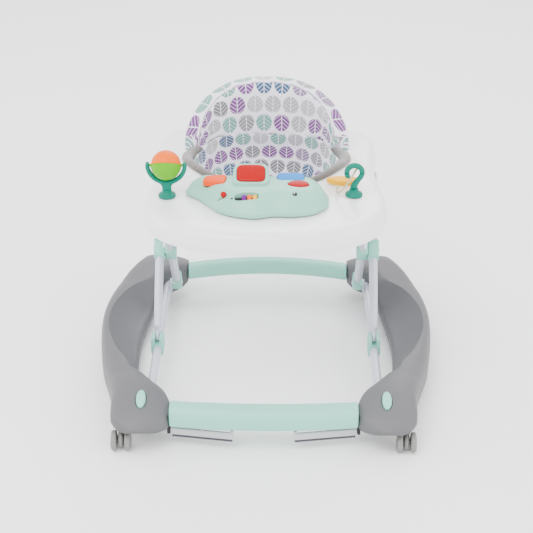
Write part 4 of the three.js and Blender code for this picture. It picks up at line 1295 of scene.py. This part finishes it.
def make_yoke():
    x, y, z = SPINNER["x"], SPINNER["y"], SPINNER["z"]
    middle, thick = (SPINNER["inner"] + SPINNER["outer"]) / 2, (SPINNER["outer"] - SPINNER["inner"]) / 2
    rings = []
    arc = [(-middle, 5.0)] + [
        (middle * math.cos(a), middle * math.sin(a)) for a in np.linspace(math.pi, 2 * math.pi, 49)
    ] + [(middle, 5.0)]
    for i, (px, pz) in enumerate(arc):
        before, after = arc[max(i - 1, 0)], arc[min(i + 1, len(arc) - 1)]
        ahead = Vector((after[0] - before[0], after[1] - before[1])).normalized()
        out = Vector((ahead.y, -ahead.x))
        tip = 0.8 if i in (0, len(arc) - 1) else 1
        rings.append([
            (
                x + px + out.x * power(math.cos(b), 0.6) * thick * tip,
                y + power(math.sin(b), 0.6) * SPINNER["deep"] / 2 * tip,
                z + pz + out.y * power(math.cos(b), 0.6) * thick * tip,
            )
            for b in (2 * math.pi * k / 24 for k in range(24))
        ])
    fork = loft("spinner stand", rings, angle=50)
    stalk_top = z - SPINNER["inner"] - 3
    stalk = loft("stalk", [
        [
            (x + power(math.cos(b), 0.6) * w / 2, y + power(math.sin(b), 0.6) * 6.2, h)
            for b in (2 * math.pi * k / 28 for k in range(28))
        ]
        for h, w in (
            (TRAY_FACE + 6, 22), (TRAY_FACE + 11, 19), (TRAY_FACE + 17, 18.5),
            (TRAY_FACE + 23, 20), (stalk_top - 4, 27), (stalk_top, 30),
        )
    ])
    return joined("spinner stand", [fork, stalk, foot_disc("foot", x, y)])


def make_half(top):
    """Half of the ball, drawn level and then tilted forward; the lower half carries a rim and the pins."""
    radius = SPINNER["ball"] * (0.985 if top else 1.0)
    gap = 0.2
    span = np.linspace(math.asin(gap / radius), math.pi / 2, 22)
    profile = [(0, gap)] + [(radius * math.cos(t), radius * math.sin(t)) for t in span]
    if not top:
        profile = [(0, 0.2), (24.5, 0.2), (25.2, 1.4), (26.6, 1.4), (27.2, 0.2)] + profile[1:]
        profile = [(r, -h) for r, h in profile]
    piece = lathe("half", "z", (0, 0, 0), profile, 64)
    parts = [piece]
    if not top:
        parts.append(rod("pins", "x", (0, 0, -0.0), 2.9, 2 * SPINNER["outer"] - 5, 24))
    obj = joined(f"{'upper' if top else 'lower'} ball half", parts)
    return tilted(obj, -SPINNER["turned"], SPINNER["x"], SPINNER["y"], SPINNER["z"])


finish_piece(make_yoke(), "tray", "teal", None, "spinner_yoke")
finish_piece(make_half(True), "spinner_ball", "orange", None, "ball_top")
finish_piece(make_half(False), "spinner_ball", "lime", None, "ball_bottom")

HOOK = {"x": 176, "y": -67, "z": 479, "radius": 15.2}


def make_hook():
    x, y, z, radius = HOOK["x"], HOOK["y"], HOOK["z"], HOOK["radius"]
    turn = [
        (x + radius * math.cos(math.radians(d)), y, z + radius * math.sin(math.radians(d)))
        for d in (228, 205, 180, 150, 120, 90, 60, 30, 0, -28)
    ]
    turn += [(x + 5, y, z - 19), (x, y, z - 28), (x, y, TRAY_FACE + 8)]
    path = curve_points(turn, 72)
    loop = tube_along("hook", path, lambda t: 5.3 * min(1, 0.55 + 9 * t) + 1.6 * smooth(0.72, 0.9, t), 22)
    return joined("hook stand", [loop, foot_disc("foot", x, y)])


finish_piece(make_hook(), "tray", "teal", None, "hook_stand")
STRAP_PATH = [
    (184, -54, 488), (177, -67, 481), (166, -81, 468), (153, -88, 452),
    (144, -80, 441), (142, -62, 437), (144, -46, 440),
]
strap_path = curve_points(STRAP_PATH, 60)
strap = tube_along("toy strap", strap_path, 2.3, 14, flat=0.62)
layer = strap.data.uv_layers.new(name="cloth")
for loop_corner in strap.data.loops:
    co = strap.data.vertices[loop_corner.vertex_index].co
    layer.data[loop_corner.index].uv = (co.x + co.y, co.z)
finish_piece(strap, "tray", "cream", None, "hook_strap")


def make_teether():
    """A flat moon-shaped teether with rounded edges and small raised dots."""
    outline = curve_points([
        (-31, 4), (-22, 9.5), (-8, 12), (8, 12), (22, 10.5), (32, 6.5),
        (35, 0), (32, -6), (24, -9), (10, -10.5),
        (-6, -9.5), (-20, -4.5),
    ], 90, closed=True)
    centre = outline.mean(0)
    rings = []
    for h, share in (
        (-2, 0.93), (-1.4, 0.975), (0, 1.0), (3.5, 1.02), (7, 1.0),
        (8.4, 0.975), (9, 0.93), (9.2, 0.6), (9.2, 0.2),
    ):
        rings.append([(*(centre + (p - centre) * share), h) for p in outline])
    piece = loft("teether body", rings, angle=50)
    dots = [sphere("dot", (dx, 2 + 0.12 * dx, 9.1), 1.5, 14, 8) for dx in (-16, -8, 0, 8, 16, 24)]
    return tilted(joined("teether body", [piece, *dots]), 0.12, 154, -28, 439)


finish_piece(make_teether(), "tray", "yellow", None, "teether")
print("toys made")

# %% [markdown]
# ## Seat sling
# The seat is a cloth bowl with two leg holes. It hangs from the collar, and its rear wall rises to meet
# the back pad. Seams divide it into a flat middle panel and gathered side panels.

# %% Seat sling
SLING_LEVELS = [
    (44, 34, 256), (74, 58, 264), (104, 82, 286), (126, 102, 326), (143, 116, 378), (152, 123, 432),
]
LEG_HOLE = {"x": 66, "z": 316, "radius": 46}
SLING_AROUND = 168
SEAM_X = 72
sling_half_x = along([(z, a) for a, _, z in SLING_LEVELS])
sling_half_y = along([(z, b) for _, b, z in SLING_LEVELS])


def rear_share(angle):
    """1 along the rear wall, 0 round the sides and the front."""
    return smooth(0.35, 0.75, math.sin(angle))


def wrinkle(x, y, z, size, depth):
    """A smooth pseudo-random height in millimetres; size is the width of a wrinkle."""
    return depth * noise.noise(Vector((x / size, y / size, z / size)))


def sling_point(angle, share, inset):
    rear = rear_share(angle)
    top = 434 + 19 * rear
    z = mix(256, top, share)
    a, b = sling_half_x(min(z, 432)), sling_half_y(min(z, 432))
    b -= 13 * rear * smooth(400, 452, z)
    fade = smooth(256, 275, z) * (1 - 0.6 * smooth(425, 440, z) * (1 - rear))
    x = (a - inset) * math.cos(angle)
    y = OPENING["y"] + (b - inset) * math.sin(angle)
    gathered = smooth(SEAM_X - 6, SEAM_X + 8, abs(x)) if math.sin(angle) > 0 else 0.35
    pucker = wrinkle(x, y, z * 0.35, 15, 3.2) * gathered + wrinkle(x, y, z, 42, 2.6)
    if math.sin(angle) > 0:
        pucker += 2.4 * math.exp(-((abs(x) - SEAM_X) / 2.6) ** 2)
    out = pucker * fade
    return (x + out * math.cos(angle), y + out * math.sin(angle), z + (2.5 if inset and share < 0.1 else 0))


def make_sling():
    shares = [0, 0.02, *np.linspace(0.05, 1, 44)]
    around = np.linspace(0, 2 * math.pi, SLING_AROUND, endpoint=False)
    rim = [sling_point(a, 0.8, 0) for a in around]
    arc = np.concatenate([[0], np.cumsum([math.dist(p, q) for p, q in zip(rim, rim[1:])])]) * MILLIMETRE
    outer = [[sling_point(a, s, 0) for a in around] for s in shares]
    inner = [[sling_point(a, s, 3.2) for a in around] for s in shares]
    rings = outer + inner[::-1]
    heights = [s * 0.25 for s in shares] + [s * 0.25 for s in shares[::-1]]
    uvs = [[(0.006 + u, v) for u in arc] for v in heights]
    sling = loft("sling cloth", rings, uvs=uvs, angle=80)
    holes = [
        rod("leg hole", "y", (x, OPENING["y"] - 90, LEG_HOLE["z"]), LEG_HOLE["radius"], 160, 56)
        for x in (-LEG_HOLE["x"], LEG_HOLE["x"])
    ]
    return cut(sling, *holes)


sling = finish_piece(make_sling(), "tray", "printed_fabric", None, "seat_sling")
hole_path = []
for k in range(72):
    a = 2 * math.pi * k / 72
    x, z = LEG_HOLE["x"] + LEG_HOLE["radius"] * math.cos(a), LEG_HOLE["z"] + LEG_HOLE["radius"] * math.sin(a)
    half_x, half_y = sling_half_x(z) - 1.5, sling_half_y(z) - 1.5
    hole_path.append((x, OPENING["y"] - half_y * math.sqrt(max(1 - (x / half_x) ** 2, 0.02)), z))
binding = tube_along("leg binding right", hole_path, 2.4, 12, closed=True)
for twin in pair(binding, "tray", "trim_fabric", None):
    twin.data.uv_layers.new(name="cloth")
print("sling faces:", len(sling.data.polygons))

# %% [markdown]
# ## Back pad
# The pad curves round the back of the opening. It is a stuffed loft: its section swells at the front,
# folds over at the bottom and carries a gusset along the top, with piping on both seams.

# %% Back pad
BACK = {"half_x": 174, "start_y": 150, "depth": 92, "thick_x": 36, "thick_y": 42, "spread": 86, "top": 570}
TRIM_END = math.radians(40)
PAD_SECTION = [
    (0.34, 0.0), (0.16, 0.03), (0.1, 0.085), (-0.03, 0.115), (-0.07, 0.16), (-0.06, 0.3), (-0.045, 0.5),
    (-0.02, 0.7), (0.0, 0.84), (0.045, 0.925), (0.12, 0.965), (0.3, 0.993), (0.5, 1.0), (0.7, 0.997),
    (0.88, 0.98), (0.98, 0.93), (1.0, 0.8), (1.02, 0.5),
    (1.0, 0.15), (0.95, 0.04), (0.8, 0.0), (0.55, 0.0),
]
PAD_ACROSS, PAD_ROUND = 121, 64
SEAM_FRONT = 0.37


def back_bottom(point):
    angle = math.atan2((point[1] - OPENING["y"]) / OPENING["half_y"], abs(point[0]) / OPENING["half_x"])
    over_trim = 1 - smooth(TRIM_END + 0.03, TRIM_END + 0.2, angle)
    return TRAY["top"] + collar_rise(angle) + 4 + over_trim * 7.5


def pad_lines(a):
    """The pad's front and rear points seen from above, and its bottom and top, at one angle."""
    outer = (BACK["half_x"] * math.sin(a), BACK["start_y"] + BACK["depth"] * math.cos(a))
    inner = (
        (BACK["half_x"] - BACK["thick_x"]) * math.sin(a),
        BACK["start_y"] + (BACK["depth"] - BACK["thick_y"]) * math.cos(a),
    )
    arch = math.sqrt(1 - abs(outer[0] / (BACK["half_x"] + 2)) ** 2.6)
    bottom = max(back_bottom(inner), back_bottom(outer))
    top = max(mix(442, BACK["top"], arch), bottom + 8)
    return inner, outer, bottom - 16 * smooth(0.9, 1.35, abs(a)), top


section = curve_points(PAD_SECTION, PAD_ROUND, closed=True)


def pad_point(a, out, up, swell=1.0):
    inner, outer, bottom, top = pad_lines(a)
    x, y, z = mix(inner[0], outer[0], out), mix(inner[1], outer[1], out), mix(bottom, top, up)
    corner = smooth(0.75, 1.3, abs(a)) * (1 - smooth(0.3, 0.75, up))
    puff = wrinkle(x, y, z, 55, 3.0) + wrinkle(x + 90, y, z, 22, 1.1)
    puff += corner * (3.0 * math.sin(z * 0.32 + abs(a) * 9) + wrinkle(x, y, z, 12, 3.4))
    front = 1 - smooth(0.25, 0.7, out)
    edge = min(smooth(0, 0.1, up), 1 - 0.7 * smooth(0.85, 0.97, up))
    push = puff * swell * edge * (front if out < 0.7 else 0.5) * (1 - smooth(1.38, 1.5, abs(a)))
    return (x - math.sin(a) * push, y - math.cos(a) * push, z)


def make_pad():
    spread = math.radians(BACK["spread"])
    angles = [mix(-spread, spread, i / (PAD_ACROSS - 1)) for i in range(PAD_ACROSS)]

    def lengths(path):
        steps = [math.dist(p, q) for p, q in zip(path, path[1:])]
        return np.concatenate([[0], np.cumsum(steps)]) * MILLIMETRE

    arc = lengths([pad_point(a, 0, 0.5, 0) for a in angles])
    arc -= arc[-1] / 2
    rings = [[pad_point(a, out, up) for out, up in section] for a in angles]
    uvs = []
    middle = rings[PAD_ACROSS // 2]
    climb = lengths(middle)
    for i, ring in enumerate(rings):
        scale = (ring[PAD_ROUND // 3][2] - ring[0][2]) / max(middle[PAD_ROUND // 3][2] - middle[0][2], 1)
        row = []
        for k in range(PAD_ROUND):
            beyond = k / PAD_ROUND > SEAM_FRONT
            v = climb[k] if beyond else mix(climb[k], climb[k] * scale, 0.6)
            row.append((arc[i] + 0.0065 + (0.019 if beyond else 0), v + 0.0125 + (0.011 if beyond else 0)))
        uvs.append(row)
    return loft("back pad cloth", rings, uvs=uvs, angle=80)


def piping(name, spot, radius, reach=0.97):
    spread = math.radians(BACK["spread"]) * reach
    path = [pad_point(mix(-spread, spread, i / 120), *section[spot]) for i in range(121)]
    bead = tube_along(name, path, radius, 10)
    bead.data.uv_layers.new(name="cloth")
    return bead


pad = finish_piece(make_pad(), "tray", "printed_fabric", None, "seat_back")
for name, share in (("front piping", SEAM_FRONT), ("rear piping", 0.62)):
    finish_piece(piping(name, int(PAD_ROUND * share), 0.9), "tray", "printed_fabric")
print("pad faces:", len(pad.data.polygons))

# %% [markdown]
# ## Collar trim
# A padded grey band wraps the collar at the sides and the front, with a stitched edge.

# %% Collar trim
TRIM_COVER = 9.5
TRIM_AROUND = 150


def trim_ring(angle, share):
    top = TRAY["top"] + collar_rise(angle)
    reach = 3 + 10 * abs(math.cos(angle))
    taper = min(smooth(0, 0.012, share), smooth(0, 0.012, 1 - share))
    controls = [
        (reach - 1.5, top - 1.0), (reach + 0.6, top + 2.4), (reach - 0.2, top + 6), (reach * 0.6, top + 8.8),
        (reach * 0.1, top + TRIM_COVER), (-4, top + TRIM_COVER - 1.4), (-7.4, top + 4),
        (-8, top - 6), (-8, top - 20),
        (-6.5, top - 23), (-4, top - 20), (-3.3, top - 6), (-2.4, top + 0.8), (1, top + 1.6),
    ]
    ring = []
    for out, z in curve_points(controls, 40, closed=True):
        x = (OPENING["half_x"] + out) * math.cos(angle)
        y = OPENING["y"] + (OPENING["half_y"] + out) * math.sin(angle)
        plump = wrinkle(x, y, z, 34, 1.1) + wrinkle(x, y, z * 0.4, 9, 0.7)
        upper = smooth(top - 3, top + 5, z)
        middle = (reach * 0.3, top + 3)
        out2 = mix(middle[0], out, mix(0.86, 1, taper)) + plump * upper * 0.5
        z2 = mix(middle[1], z, mix(0.86, 1, taper)) + plump * upper
        ring.append((
            (OPENING["half_x"] + out2) * math.cos(angle),
            OPENING["y"] + (OPENING["half_y"] + out2) * math.sin(angle),
            z2,
        ))
    return ring


def make_trim():
    rings, uvs, run = [], [], 0.0
    for i in range(TRIM_AROUND):
        share = i / (TRIM_AROUND - 1)
        ring = trim_ring(mix(-math.pi - TRIM_END, TRIM_END, share), share)
        if rings:
            run += math.dist(ring[8], rings[-1][8]) * MILLIMETRE
        rings.append(ring)
        uvs.append([(run, k * 0.002) for k in range(len(ring))])
    return loft("trim band", rings, uvs=uvs, angle=80)


def stitch_line(name, spot):
    path = []
    for i in range(TRIM_AROUND):
        share = mix(0.01, 0.99, i / (TRIM_AROUND - 1))
        path.append(trim_ring(mix(-math.pi - TRIM_END, TRIM_END, share), 0.5)[spot])
    line = tube_along(name, path, 0.55, 8)
    line.data.uv_layers.new(name="cloth")
    return line


trim = finish_piece(make_trim(), "tray", "trim_fabric", None, "seat_trim")
finish_piece(stitch_line("outer stitching", 4), "tray", "trim_fabric")
finish_piece(stitch_line("inner stitching", 19), "tray", "trim_fabric")
print("trim faces:", len(trim.data.polygons))

# %% [markdown]
# ## Last touches
# The CAD nodes that still show get their looks too.

# %% Finish
for part in frame["record"]["subparts"]:
    node = nodes[part["node"]]
    if not node.hide_render and node.name not in ("front_cross_tube", "rear_cross_tube"):
        node.data.materials.clear()
        node.data.materials.append(LOOKS[part["material_slot"]])
        node.modifiers.new("weld", "WELD").merge_threshold = 1e-6
        bevelled(node, 0.5)
        node.data.shade_smooth()
        node.data.set_sharp_from_angle(angle=math.radians(35))
